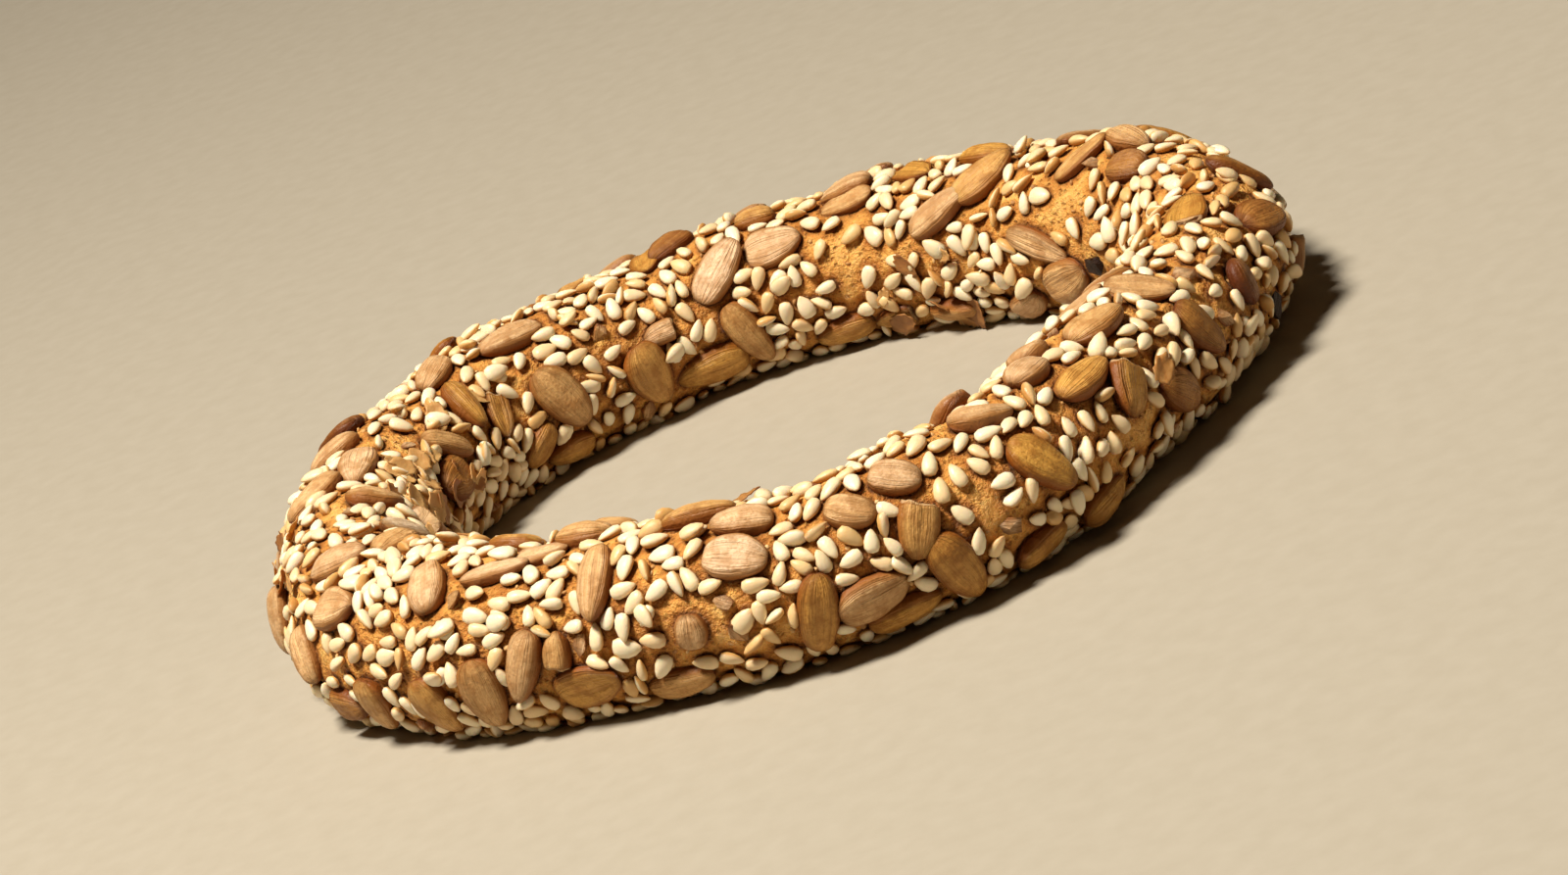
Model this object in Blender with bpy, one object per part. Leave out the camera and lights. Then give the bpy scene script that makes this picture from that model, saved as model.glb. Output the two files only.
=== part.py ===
"""Seeded bread ring: a rope of dough joined into a ring, baked lying on a flat tray.

Sunflower kernels and sesame are pressed into its crust and fused to it, so the ring is one solid.
Units are metres, +Z is up. The origin is on the surface the ring rests on, under the ring's middle.
"""

import math
import random

import bmesh
import bpy
from mathutils import Matrix, Vector

MM = 0.001
TURN = 2 * math.pi

# Rope of dough
RING_RADIUS = 49.0 * MM  # from the ring's middle to the middle of the rope
ROPE_RADIUS = 8.8 * MM
TRAY_FLAT = 0.8 * MM  # depth of dough that the tray pressed flat
TRAY_ROUNDING = 0.5 * MM  # how softly the rope's side turns into that flat
RING_SHIFT = Vector((-1.35 * MM, 1.13 * MM, 0.0))  # brings the uneven ring's middle over the origin

# Uneven shaping by hand: waves around the ring, their height, and the angle of one crest in degrees
RING_WAVES = ((2, 0.3 * MM, -10.0), (3, 1.2 * MM, 16.0), (4, 1.05 * MM, 9.0), (5, 0.95 * MM, -2.5))
ROPE_WAVES = ((1, 0.35 * MM, 150.0), (2, 0.35 * MM, 40.0), (4, 0.3 * MM, 36.0))

# Lumps of the crust: waves around the ring, waves around the rope, their height, and where they start
CRUST_LUMPS = ((11, 1, 0.22 * MM, 0.4), (17, -2, 0.17 * MM, 2.1), (26, 3, 0.12 * MM, 4.0))

# Where the rope's two ends were pressed together
JOIN_ANGLE = math.radians(24.0)
JOIN_SPREAD = math.radians(11.0)
JOIN_SWELL = 0.7 * MM

# Sunflower kernels, as length, width and thickness
KERNEL_SIZE = (8.6 * MM, 4.6 * MM, 2.4 * MM)
KERNEL_COUNT = 142
KERNEL_ROOM = 4.3 * MM  # least distance between two kernels' spines
KERNEL_LIFT = 0.35 * MM  # a kernel's middle above the dough's skin
KERNEL_TAPER = 0.3  # how much narrower the pointed end is
KERNEL_SIDES, KERNEL_STEPS = 6, 4
KERNEL_GROWTH = (0.84, 1.05)  # the smallest and the largest, as shares of that size
KERNEL_STOUTNESS = (0.84, 1.14)  # slender and stout ones, as shares of that width
KERNEL_FULLNESS = (0.9, 1.1)  # thin and thick ones, as shares of that thickness
BROKEN_SHARE = 0.26  # share of kernels that are short, broken pieces
BROKEN_LENGTH = (0.52, 0.72)
BROKEN_WIDTH = (0.88, 1.04)

# Kernels on the side that is usually looked at: degrees around the ring, degrees around the rope from its
# outer side up, degrees from the rope's direction to the kernel's tip, length and width in millimetres
PLACED_KERNELS = (
    (222, 62, 118, 7.2, 4.4), (200, 75, 38, 8.4, 4), (207, 45, 10, 7.6, 5), (188, 14, -88, 7.8, 4.2),
    (200, 9, -56, 6.8, 3.6), (206, -22, 0, 5, 4), (212, -17, -107, 8, 4.2), (222.5, -14, -81, 7.8, 4.4),
    (229.5, -8, -93, 8.4, 4.6), (235, 5, -117, 8.4, 3.8), (239.5, 12, 80, 3.8, 2.9), (231, 71, 5, 8.6, 3.6),
    (229, 111, 0, 6.6, 4), (236.5, 85, 8, 5.8, 3.4), (204, 107, -60, 6.4, 4.4), (245, 50, -90, 9, 3.9),
    (243, 122, 10, 5.6, 4.6), (241, 103, 0, 6.6, 4.2), (241.3, -18, 11, 8.2, 5.2), (251, -36, 5, 7.8, 3.6),
    (254.6, 5, 80, 4, 3.4), (261.3, 45, -17, 7, 4.9), (262.7, 74, 183, 6.8, 4.2), (257.5, 94, 5, 8.2, 3.2),
    (267.4, -7, -108, 8.8, 4.4), (272.9, -12, 0, 8.2, 4.7), (275.5, -36, 0, 8.2, 3.6),
    (281.7, -16, -69, 8.6, 4.8), (279.3, 18, -117, 5.6, 4.4), (279.7, 61, -34, 5.6, 4.2),
    (274, 50, -32, 5.6, 3.8), (292, 71, -26, 7, 4.2), (294, 18, -62, 8.4, 4.8), (306, 47, 3, 9, 4.1),
    (309.7, 18, -130, 5.8, 4.8), (318.5, -9, -38, 7.2, 4.6), (326, 16, -69, 7.6, 4.4),
    (315, 70, -15, 7.8, 4.9), (326.5, 70, -62, 7.6, 4.4), (306.5, 103, 20, 5.8, 4.6),
    (301.8, 82, 10, 6.2, 4.4), (331, 112, -40, 6.4, 4.2), (322, 104, -20, 6.6, 4), (338, 16, -100, 5.6, 5),
    (291.5, -36, 0, 7.5, 3.6), (301, -36, 5, 8, 3.6), (163, 101, 0, 8.2, 4.4), (155.5, 72, -50, 7, 4.2),
    (169, 70, -47, 8.4, 4.2), (178, 119, 85, 6.6, 4.8), (151.5, 170, 180, 7.8, 5.2),
    (138, 138, 75, 7.4, 3.6), (134, 160, 60, 5.5, 3.6), (122.5, 171, 113, 9, 5.3),
    (147.5, 150, 135, 7.2, 3.2), (129, 196, 37, 5.8, 3.4), (123, 214, 0, 6.4, 3.8), (122.5, 110, 0, 8.8, 4),
    (134.5, 96, 20, 7, 3.8), (94.5, 84, 30, 6.4, 4.8), (98.5, 90, 80, 5, 4), (89.5, 136, -140, 8.6, 4.6),
    (79.8, 131, 178, 7.4, 5), (88.3, 189, 110, 8.8, 4), (96, 205, 0, 9, 4.6), (106.5, 187, 100, 8.4, 5.3),
    (102.5, 163, 0, 3.6, 2.8), (82, 92, 0, 5, 3.6), (68, 90, 0, 7, 4.2), (67.5, 108, 0, 7.2, 3.6),
    (57, 88, 150, 6, 4.2), (45.5, 84, 180, 7, 4), (48.8, 137, -150, 9, 4.2), (42.5, 112, -122, 8.8, 4.6),
    (23.8, 106, -125, 7.8, 3.8), (20, 83, 180, 6.6, 4), (14.5, 107, 30, 5.2, 4.4), (1, 50, -85, 8.2, 4.4),
    (350, 88, 5, 7.8, 4.8), (351, 31, -26, 7.2, 5), (24.5, 193, -158, 8.6, 5.2), (36, 212, -150, 5.6, 4),
    (28, 167, 158, 9, 3.3), (73, 214, 0, 7.4, 3.6), (64, 214, 0, 4.8, 3.2), (52, 214, 0, 7.6, 3.6),
)
LOOKED_AT_FROM = Vector((0.0, -0.95, 0.31))
SPREAD_FACING = 0.06  # the other kernels are spread where the skin faces that side less than this

# Sesame seeds
SESAME_SIZE = (3.1 * MM, 2.0 * MM, 1.2 * MM)
SESAME_COUNT = 50  # the ones that the solid can carry, spread evenly between the kernels
SESAME_ROOM = 3.6 * MM
SESAME_LIFT = 0.3 * MM
SESAME_TAPER = 0.26
SESAME_SIDES, SESAME_STEPS = 5, 3
SESAME_GROWTH = (0.9, 1.1)
SESAME_STOUTNESS = (0.92, 1.08)

SPINE_REACH = 0.3  # a seed's spine runs this share of its length to each side of its middle
SEED_FLOOR_GAP = 0.4 * MM  # seeds stop this far above the surface that the ring rests on
RANDOM_SEED = 7

# Facets of the dough
RING_SEGMENTS, ROPE_SEGMENTS = 64, 14
SLOPE_STEP = 0.001  # part of a turn over which the skin's slope is measured, in radians
SHARP_ANGLE = math.radians(50.0)  # edges sharper than this are not shaded smooth
CRUST_COLOUR = (0.72, 0.47, 0.22)
CRUST_ROUGHNESS = 0.7


def clear_scene():
    for obj in list(bpy.data.objects):
        bpy.data.objects.remove(obj, do_unlink=True)


def material(name, colour, roughness):
    made = bpy.data.materials.new(name)
    made.use_nodes = True
    shader = made.node_tree.nodes["Principled BSDF"]
    shader.inputs["Base Color"].default_value = (*colour, 1.0)
    shader.inputs["Roughness"].default_value = roughness
    shader.inputs["Metallic"].default_value = 0.0
    return made


def waves(angle, table):
    return sum(height * math.cos(count * (angle - math.radians(crest))) for count, height, crest in table)


def join_swell(turn):
    away = (turn - JOIN_ANGLE + math.pi) % TURN - math.pi
    return JOIN_SWELL * math.exp(-((away / JOIN_SPREAD) ** 2))


def pressed_by_tray(height):
    """Height above the tray after baking: flat below it, rounded near it, unchanged well above it."""
    if height > TRAY_ROUNDING:
        return height
    if height < -TRAY_ROUNDING:
        return 0.0
    return (height + TRAY_ROUNDING) ** 2 / (4 * TRAY_ROUNDING)


def skin(turn, around):
    """A point of the dough's skin: turn goes around the ring, around goes around the rope from its outer side up."""
    centre = RING_RADIUS + waves(turn, RING_WAVES)
    thick = ROPE_RADIUS + waves(turn, ROPE_WAVES) + join_swell(turn)
    thick += sum(h * math.cos(m * turn + n * around + start) for m, n, h, start in CRUST_LUMPS)
    out = centre + thick * math.cos(around)
    up = ROPE_RADIUS - TRAY_FLAT + thick * math.sin(around)
    return Vector((out * math.cos(turn), out * math.sin(turn), pressed_by_tray(up))) + RING_SHIFT


def skin_frame(turn, around):
    """The skin's point there, its direction along the rope, and its outward normal."""
    along = (skin(turn + SLOPE_STEP, around) - skin(turn - SLOPE_STEP, around)).normalized()
    across = skin(turn, around + SLOPE_STEP) - skin(turn, around - SLOPE_STEP)
    return skin(turn, around), along, along.cross(across).normalized()


def seed_place(turn, around, spin, lift, scale):
    """The matrix that lays a seed on the skin, its length turned by spin from the rope's direction."""
    point, along, normal = skin_frame(turn, around)
    length_axis = Matrix.Rotation(spin, 3, normal) @ along
    length_axis = (length_axis - normal * length_axis.dot(normal)).normalized()
    turned = Matrix((length_axis, normal.cross(length_axis), normal)).transposed()
    return Matrix.Translation(point + normal * lift) @ turned.to_4x4() @ Matrix.Diagonal((*scale, 1.0))


def random_spot(rng):
    """A place on the skin, as likely on each square millimetre of it."""
    while True:
        turn, around = rng.uniform(0, TURN), rng.uniform(-math.pi, math.pi)
        if rng.uniform(0, RING_RADIUS + ROPE_RADIUS) < RING_RADIUS + ROPE_RADIUS * math.cos(around):
            return turn, around


def lowest_reach(place, size):
    """Height of the lowest corner of the seed's own box."""
    return place[2][3] - sum(abs(place[2][axis]) * size[axis] / 2 for axis in range(3))


def lay_clear_of_tray(turn, around, spin, lift, scale, size):
    """The seed as it fell, or turned along the rope if an end would reach the tray, or None if both do."""
    for tried in (spin, 0.0):
        place = seed_place(turn, around, tried, lift, scale)
        if lowest_reach(place, size) > SEED_FLOOR_GAP:
            return place
    return None


def spine(place, size):
    """Three points along a seed: its middle and a point towards each end."""
    reach = SPINE_REACH * size[0]
    return [place @ Vector((along, 0.0, 0.0)) for along in (-reach, 0.0, reach)]


def placed_kernels(taken):
    """Matrices for the kernels of the table."""
    laid = []
    for turn, around, spin, length, width in PLACED_KERNELS:
        scale = (length * MM / KERNEL_SIZE[0], width * MM / KERNEL_SIZE[1], 1.0)
        place = seed_place(math.radians(turn), math.radians(around), math.radians(spin), KERNEL_LIFT, scale)
        laid.append(place)
        taken.extend(spine(place, KERNEL_SIZE))
    return laid


def faces_away(place):
    """Whether the skin under the seed faces away from the side that the table fills."""
    return place.to_3x3().col[2].normalized().dot(LOOKED_AT_FROM) < SPREAD_FACING


def anywhere(place):
    return True


def spread_seeds(count, size, room, lift, sizes_of, allowed, taken, rng):
    """Matrices for seeds laid one by one, each at a random place that leaves room to the spines already there."""
    laid = []
    while len(laid) < count:
        turn, around = random_spot(rng)
        spin, scale = rng.uniform(0, TURN), sizes_of(rng)
        place = lay_clear_of_tray(turn, around, spin, lift, scale, size)
        if place is None or not allowed(place):
            continue
        points = spine(place, size)
        if all((point - other).length > room for point in points for other in taken):
            laid.append(place)
            taken.extend(points)
    return laid


def kernel_scale(rng):
    whole = rng.uniform(*KERNEL_GROWTH)
    if rng.random() < BROKEN_SHARE:
        return (whole * rng.uniform(*BROKEN_LENGTH), whole * rng.uniform(*BROKEN_WIDTH), whole)
    return (whole, whole * rng.uniform(*KERNEL_STOUTNESS), whole * rng.uniform(*KERNEL_FULLNESS))


def sesame_scale(rng):
    whole = rng.uniform(*SESAME_GROWTH)
    return (whole, whole * rng.uniform(*SESAME_STOUTNESS), whole)


def seed_mesh(name, size, taper, sides, steps):
    """A flattened drop along X, blunt at one end and pointed at the other."""
    shape = bmesh.new()
    bmesh.ops.create_uvsphere(shape, u_segments=sides, v_segments=steps, radius=0.5)
    for vert in shape.verts:
        away = 2 * vert.co.z
        thin = 1.0 - taper * away
        vert.co = Vector((vert.co.z * size[0], vert.co.y * size[1] * thin, -vert.co.x * size[2] * thin))
    mesh = bpy.data.meshes.new(name)
    shape.to_mesh(mesh)
    shape.free()
    return mesh


def dough_ring():
    """The torus that the dough starts as, each vertex moved to the uneven skin."""
    bpy.ops.mesh.primitive_torus_add(
        major_segments=RING_SEGMENTS,
        minor_segments=ROPE_SEGMENTS,
        major_radius=RING_RADIUS,
        minor_radius=ROPE_RADIUS,
    )
    ring = bpy.context.object
    for vert in ring.data.vertices:
        turn = math.atan2(vert.co.y, vert.co.x)
        around = math.atan2(vert.co.z, math.hypot(vert.co.x, vert.co.y) - RING_RADIUS)
        vert.co = skin(turn, around)
    return ring


def keep_main_shell(mesh):
    """Drops loose scraps and sealed hollows: every shell but the largest."""
    shape = bmesh.new()
    shape.from_mesh(mesh)
    left, shells = set(shape.verts), []
    while left:
        shell, edge_of_shell = set(), [left.pop()]
        while edge_of_shell:
            vert = edge_of_shell.pop()
            shell.add(vert)
            near = {edge.other_vert(vert) for edge in vert.link_edges} & left
            left -= near
            edge_of_shell.extend(near)
        shells.append(shell)
    shells.sort(key=len)
    for shell in shells[:-1]:
        bmesh.ops.delete(shape, geom=list(shell), context="VERTS")
    shape.to_mesh(mesh)
    shape.free()


def fuse(ring, seeds):
    """Joins the collection of seeds to the ring by one Boolean union, then removes its objects."""
    union = ring.modifiers.new("seeds_fused_on", "BOOLEAN")
    union.operation = "UNION"
    union.operand_type = "COLLECTION"
    union.collection = seeds
    union.solver = "EXACT"
    bpy.context.view_layer.update()
    graph = bpy.context.evaluated_depsgraph_get()
    fused = bpy.data.meshes.new_from_object(ring.evaluated_get(graph))
    ring.modifiers.clear()
    ring.data = fused
    for seed in list(seeds.objects):
        bpy.data.objects.remove(seed, do_unlink=True)
    bpy.data.collections.remove(seeds)
    keep_main_shell(ring.data)


def lay_out(name, mesh, places, collection):
    for number, place in enumerate(places):
        seed = bpy.data.objects.new(f"{name}_{number:03d}", mesh)
        seed.matrix_world = place
        collection.objects.link(seed)


def main():
    clear_scene()
    scene = bpy.context.scene
    rng = random.Random(RANDOM_SEED)
    taken = []
    kernels = placed_kernels(taken)
    kernels += spread_seeds(
        KERNEL_COUNT - len(kernels), KERNEL_SIZE, KERNEL_ROOM, KERNEL_LIFT, kernel_scale, faces_away, taken, rng
    )
    sesame = spread_seeds(SESAME_COUNT, SESAME_SIZE, SESAME_ROOM, SESAME_LIFT, sesame_scale, anywhere, taken, rng)

    bread = bpy.data.collections.new("seeded_bread_ring")
    scene.collection.children.link(bread)
    seeds = bpy.data.collections.new("seeds")
    scene.collection.children.link(seeds)

    ring = dough_ring()
    ring.name = "bread_ring"
    for owner in list(ring.users_collection):
        owner.objects.unlink(ring)
    bread.objects.link(ring)
    ring.data.materials.append(material("crust_with_seeds", CRUST_COLOUR, CRUST_ROUGHNESS))

    kernel = seed_mesh("kernel", KERNEL_SIZE, KERNEL_TAPER, KERNEL_SIDES, KERNEL_STEPS)
    grain = seed_mesh("sesame", SESAME_SIZE, SESAME_TAPER, SESAME_SIDES, SESAME_STEPS)
    lay_out("kernel", kernel, kernels, seeds)
    lay_out("sesame", grain, sesame, seeds)
    fuse(ring, seeds)
    ring.data.name = "bread_ring"
    ring.data.shade_smooth()
    ring.data.set_sharp_from_angle(angle=SHARP_ANGLE)


main()
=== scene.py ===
"""Looks of the seeded bread ring: baked dough under sunflower kernels, sesame, chips, crumbs and skins.

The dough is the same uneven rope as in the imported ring, and the kernels lie where that ring has them.
Metres, +Z up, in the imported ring's own frame.
"""

import math
import random

import bmesh
import bpy
import numpy as np
from mathutils import Matrix, Vector


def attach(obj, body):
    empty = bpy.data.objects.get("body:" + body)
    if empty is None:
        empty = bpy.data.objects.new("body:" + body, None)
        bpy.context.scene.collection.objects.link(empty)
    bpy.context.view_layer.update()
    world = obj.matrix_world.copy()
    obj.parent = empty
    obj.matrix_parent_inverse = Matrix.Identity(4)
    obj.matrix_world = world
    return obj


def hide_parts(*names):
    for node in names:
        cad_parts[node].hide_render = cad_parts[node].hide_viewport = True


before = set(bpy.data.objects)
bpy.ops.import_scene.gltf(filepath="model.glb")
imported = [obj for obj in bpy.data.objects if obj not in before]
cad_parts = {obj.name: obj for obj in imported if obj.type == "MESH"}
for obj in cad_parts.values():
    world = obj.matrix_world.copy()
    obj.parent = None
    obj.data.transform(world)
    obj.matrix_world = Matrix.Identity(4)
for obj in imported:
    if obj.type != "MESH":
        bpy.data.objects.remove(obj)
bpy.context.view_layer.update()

MM = 0.001
TURN = 2 * math.pi

# Rope of dough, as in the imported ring
RING_RADIUS = 49.0 * MM
ROPE_RADIUS = 8.8 * MM
TRAY_FLAT = 0.8 * MM
TRAY_ROUNDING = 0.5 * MM
RING_SHIFT = np.array((-1.35 * MM, 1.13 * MM, 0.0))
RING_WAVES = ((2, 0.3 * MM, -10.0), (3, 1.2 * MM, 16.0), (4, 1.05 * MM, 9.0), (5, 0.95 * MM, -2.5))
ROPE_WAVES = ((1, 0.35 * MM, 150.0), (2, 0.35 * MM, 40.0), (4, 0.3 * MM, 36.0))
CRUST_LUMPS = ((11, 1, 0.22 * MM, 0.4), (17, -2, 0.17 * MM, 2.1), (26, 3, 0.12 * MM, 4.0))
JOIN_ANGLE = math.radians(24.0)
JOIN_SPREAD = math.radians(11.0)
JOIN_SWELL = 0.7 * MM

# Kernels and the first sesame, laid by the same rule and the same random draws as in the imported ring
KERNEL_SIZE = (8.6 * MM, 4.6 * MM, 2.4 * MM)
KERNEL_COUNT = 142
KERNEL_ROOM = 4.3 * MM
KERNEL_LIFT = 0.35 * MM
KERNEL_GROWTH = (0.84, 1.05)
KERNEL_STOUTNESS = (0.84, 1.14)
KERNEL_FULLNESS = (0.9, 1.1)
BROKEN_SHARE = 0.26
BROKEN_LENGTH = (0.52, 0.72)
BROKEN_WIDTH = (0.88, 1.04)
SESAME_SIZE = (3.1 * MM, 2.0 * MM, 1.2 * MM)
PACKED_SESAME_COUNT = 50
PACKED_SESAME_ROOM = 3.6 * MM
SESAME_LIFT = 0.3 * MM
SESAME_GROWTH = (0.9, 1.1)
SESAME_STOUTNESS = (0.92, 1.08)
SPINE_REACH = 0.3
SEED_FLOOR_GAP = 0.4 * MM
SLOPE_STEP = 0.001
RANDOM_SEED = 7

# Kernels of the side that is usually looked at, where the imported ring has them: degrees around the ring,
# degrees around the rope from its outer side up, degrees from the rope's direction to the kernel's tip,
# length and width in millimetres, and tone, from pale beige at 0 over tan, golden and brown to black at 1
# Kernels near the right end, from about 290 degrees round the ring past 0, have darker tones partly as
# painted shade.
PLACED_KERNELS = (
    (222, 62, 118, 7.2, 4.4, 0.3), (200, 75, 38, 8.4, 4, 0.28), (207, 45, 10, 7.6, 5, 0.34),
    (188, 14, -88, 7.8, 4.2, 0.36), (200, 9, -56, 6.8, 3.6, 0.4), (206, -22, 0, 5, 4, 0.68),
    (212, -17, -107, 8, 4.2, 0.5), (222.5, -14, -81, 7.8, 4.4, 0.54), (229.5, -8, -93, 8.4, 4.6, 0.46),
    (235, 5, -117, 8.4, 3.8, 0.38), (239.5, 12, 80, 3.8, 2.9, 0.46), (231, 71, 5, 8.6, 3.6, 0.26),
    (229, 111, 0, 6.6, 4, 0.55), (236.5, 85, 8, 5.8, 3.4, 0.32), (204, 107, -60, 6.4, 4.4, 0.44),
    (245, 50, -90, 9, 3.9, 0.42), (243, 122, 10, 5.6, 4.6, 0.45), (241, 103, 0, 6.6, 4.2, 0.44),
    (241.3, -18, 11, 8.2, 5.2, 0.58), (251, -36, 5, 7.8, 3.6, 0.5), (254.6, 5, 80, 4, 3.4, 0.36),
    (261.3, 45, -17, 7, 4.9, 0.18), (262.7, 74, 183, 6.8, 4.2, 0.3), (257.5, 94, 5, 8.2, 3.2, 0.5),
    (267.4, -7, -108, 8.8, 4.4, 0.62), (272.9, -12, 0, 8.2, 4.7, 0.42), (275.5, -36, 0, 8.2, 3.6, 0.6),
    (281.7, -16, -69, 8.6, 4.8, 0.62), (279.3, 18, -117, 5.6, 4.4, 0.52), (279.7, 61, -34, 5.6, 4.2, 0.28),
    (274, 50, -32, 5.6, 3.8, 0.42), (292, 71, -26, 7, 4.2, 0.36), (294, 18, -62, 8.4, 4.8, 0.58),
    (306, 47, 3, 9, 4.1, 0.56), (309.7, 18, -130, 5.8, 4.8, 0.62), (318.5, -9, -38, 7.2, 4.6, 0.68),
    (326, 16, -69, 7.6, 4.4, 0.68), (315, 70, -15, 7.8, 4.9, 0.45), (326.5, 70, -62, 7.6, 4.4, 0.42),
    (306.5, 103, 20, 5.8, 4.6, 0.34), (301.8, 82, 10, 6.2, 4.4, 0.28), (331, 112, -40, 6.4, 4.2, 0.38),
    (322, 104, -20, 6.6, 4, 0.35), (338, 16, -100, 5.6, 5, 0.74), (291.5, -36, 0, 7.5, 3.6, 0.62),
    (301, -36, 5, 8, 3.6, 0.6), (163, 101, 0, 8.2, 4.4, 0.26), (155.5, 72, -50, 7, 4.2, 0.35),
    (169, 70, -47, 8.4, 4.2, 0.4), (178, 119, 85, 6.6, 4.8, 0.4), (151.5, 170, 180, 7.8, 5.2, 0.68),
    (138, 138, 75, 7.4, 3.6, 0.62), (134, 160, 60, 5.5, 3.6, 0.64), (122.5, 171, 113, 9, 5.3, 0.46),
    (147.5, 150, 135, 7.2, 3.2, 0.45), (129, 196, 37, 5.8, 3.4, 0.6), (123, 214, 0, 6.4, 3.8, 0.6),
    (122.5, 110, 0, 8.8, 4, 0.34), (134.5, 96, 20, 7, 3.8, 0.35), (94.5, 84, 30, 6.4, 4.8, 0.72),
    (98.5, 90, 80, 5, 4, 0.62), (89.5, 136, -140, 8.6, 4.6, 0.2), (79.8, 131, 178, 7.4, 5, 0.28),
    (88.3, 189, 110, 8.8, 4, 0.48), (96, 205, 0, 9, 4.6, 0.58), (106.5, 187, 100, 8.4, 5.3, 0.54),
    (102.5, 163, 0, 3.6, 2.8, 0.3), (82, 92, 0, 5, 3.6, 0.52), (68, 90, 0, 7, 4.2, 0.35),
    (67.5, 108, 0, 7.2, 3.6, 0.44), (57, 88, 150, 6, 4.2, 0.6), (45.5, 84, 180, 7, 4, 0.58),
    (48.8, 137, -150, 9, 4.2, 0.35), (42.5, 112, -122, 8.8, 4.6, 0.52), (23.8, 106, -125, 7.8, 3.8, 0.5),
    (20, 83, 180, 6.6, 4, 0.42), (14.5, 107, 30, 5.2, 4.4, 0.7), (1, 50, -85, 8.2, 4.4, 0.68),
    (350, 88, 5, 7.8, 4.8, 0.6), (351, 31, -26, 7.2, 5, 0.7), (24.5, 193, -158, 8.6, 5.2, 0.43),
    (36, 212, -150, 5.6, 4, 0.36), (28, 167, 158, 9, 3.3, 0.4), (73, 214, 0, 7.4, 3.6, 0.6),
    (64, 214, 0, 4.8, 3.2, 0.55), (52, 214, 0, 7.6, 3.6, 0.5),
)
LOOKED_AT_FROM = Vector((0.0, -0.95, 0.31))
SPREAD_FACING = 0.06  # the other kernels are spread where the skin faces that side less than this
SHORT_KERNEL = 6.3  # kernels of the table under this length, in millimetres, are short, blunt ones
SHOWN_FORMS = {
    (222, 62): 5, (231, 71): 4, (245, 50): 3, (241.3, -18): 4, (251, -36): 0, (261.3, 45): 2,
    (262.7, 74): 3, (235, 5): 3, (229.5, -8): 1, (267.4, -7): 5, (272.9, -12): 0, (281.7, -16): 0,
    (279.3, 18): 7, (294, 18): 0, (306, 47): 1, (309.7, 18): 8, (315, 70): 1, (326.5, 70): 4,
    (326, 16): 3, (318.5, -9): 0, (350, 88): 9, (351, 31): 0, (338, 16): 3, (89.5, 136): 2,
    (79.8, 131): 1, (88.3, 189): 3, (122.5, 171): 2, (102.5, 163): 7, (206, -22): 8, (48.8, 137): 1,
    (24.5, 193): 5, (28, 167): 4, (163, 101): 1, (239.5, 12): 8,
}  # places in the table, and the number of the form there; the others are drawn at random
SHORT_SHARE = 0.75  # other kernels are broken ones where their length is under this share of their thickness
KERNEL_ROLL, KERNEL_PITCH = 0.14, 0.08  # how unevenly the kernels lie, in radians

# Sesame laid here only
SESAME_TRIES = 32000  # places tried; a seed stays where it finds room
SESAME_SPINS = 4  # directions tried at each place
SESAME_ROOM = 0.95  # how near the seeds lie: 1 where their outlines only touch
ROOM_WHERE_BARE = 0.9  # how much more of it a seed takes in the middle of a bare patch
LOOSE_GROWTH = (0.79, 1.01)
LOOSE_STOUTNESS = (0.8, 0.97)
LOOSE_FULLNESS = (0.88, 1.1)
LYING_LIFT, EDGE_LIFT, UNEVEN_LIFT = 0.45 * MM, 0.55 * MM, 0.06 * MM
LYING_ROLL, LYING_PITCH = 0.16, 0.13
EDGE_ROLL = (0.8, 1.5)
ON_EDGE_SHARE = 0.14  # seeds that stand on their narrow side
ON_EDGE_ROOM = 0.68  # the width that such a seed takes, as a share of a lying one's
ON_TOP_COUNT = 60  # seeds stuck on top of others
ON_TOP_LIFT = 0.98 * MM
ON_TOP_SPACING = 4.0 * MM
ON_TOP_GROWTH = (0.85, 1.05)
ON_TOP_PITCH, ON_TOP_ROLL = (0.15, 0.5), 0.25
ON_TOP_SHIFT = 0.4 * MM
TOASTED_SHARE = 0.22
THINNER_AT_ENDS = 0.36  # how much barer the left and right ends of the ring are
EVENLY_BARE, DRIFTING_BARE, BAREST_DRIFT = 0.04, 0.12, 0.6
NEAR_TRAY, MISSED_NEAR_TRAY = 0.5 * MM, 0.7  # below that height, this share of the seeds is left out
LOWEST_ON_TOP = 4 * MM

# Bare patches of dough, as degrees around the ring, degrees around the rope, and reach
BARE_PATCHES = (
    (68.0, 152.0, 6.0 * MM), (24.0, 137.0, 7.5 * MM), (154.0, 110.0, 4.0 * MM),
    (181.0, 83.0, 3.5 * MM), (204.0, 9.0, 3.5 * MM), (254.0, 8.0, 4.0 * MM),
    (286.0, 16.0, 3.0 * MM), (288.0, 105.0, 3.0 * MM), (301.0, 32.0, 3.0 * MM),
    (308.0, -9.0, 4.5 * MM), (120.0, 0.0, 4.5 * MM), (75.0, 20.0, 4.0 * MM),
    (30.0, 10.0, 4.0 * MM),
)

# Chips of kernel, two of them burnt black, dough crumbs and papery seed skins
CHIP_SIZE = (3.6 * MM, 2.6 * MM, 1.7 * MM)
CHIP_COUNT = 44
CHIP_REACH = 0.42 * CHIP_SIZE[0]
CHIP_GROWTH = (0.6, 1.1)
CHIP_STOUTNESS = (0.8, 1.1)
CHIP_FULLNESS = (0.8, 1.2)
CHIP_LIFT, BURNT_LIFT = 0.25 * MM, 0.4 * MM
CHIP_ROLL, CHIP_PITCH = 0.35, 0.3
BURNT_SPIN, BURNT_STRETCH = 0.6, (1.0, 1.1, 1.2)
LOWEST_CHIP = 1.5 * MM
PALEST_CHIP, DARKEST_CHIP = 0.1, 0.5
BURNT_CHIPS = ((345.0, -27.0), (15.5, 180.0))  # degrees around the ring and around the rope
CRUMB_SIZE = 0.9 * MM
CRUMBS_PER_SQUARE_METRE = 42000.0
LOWEST_CRUMB = 1.5 * MM
FLAKE_SIZE = (5.0 * MM, 3.2 * MM, 1.1 * MM)
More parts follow.
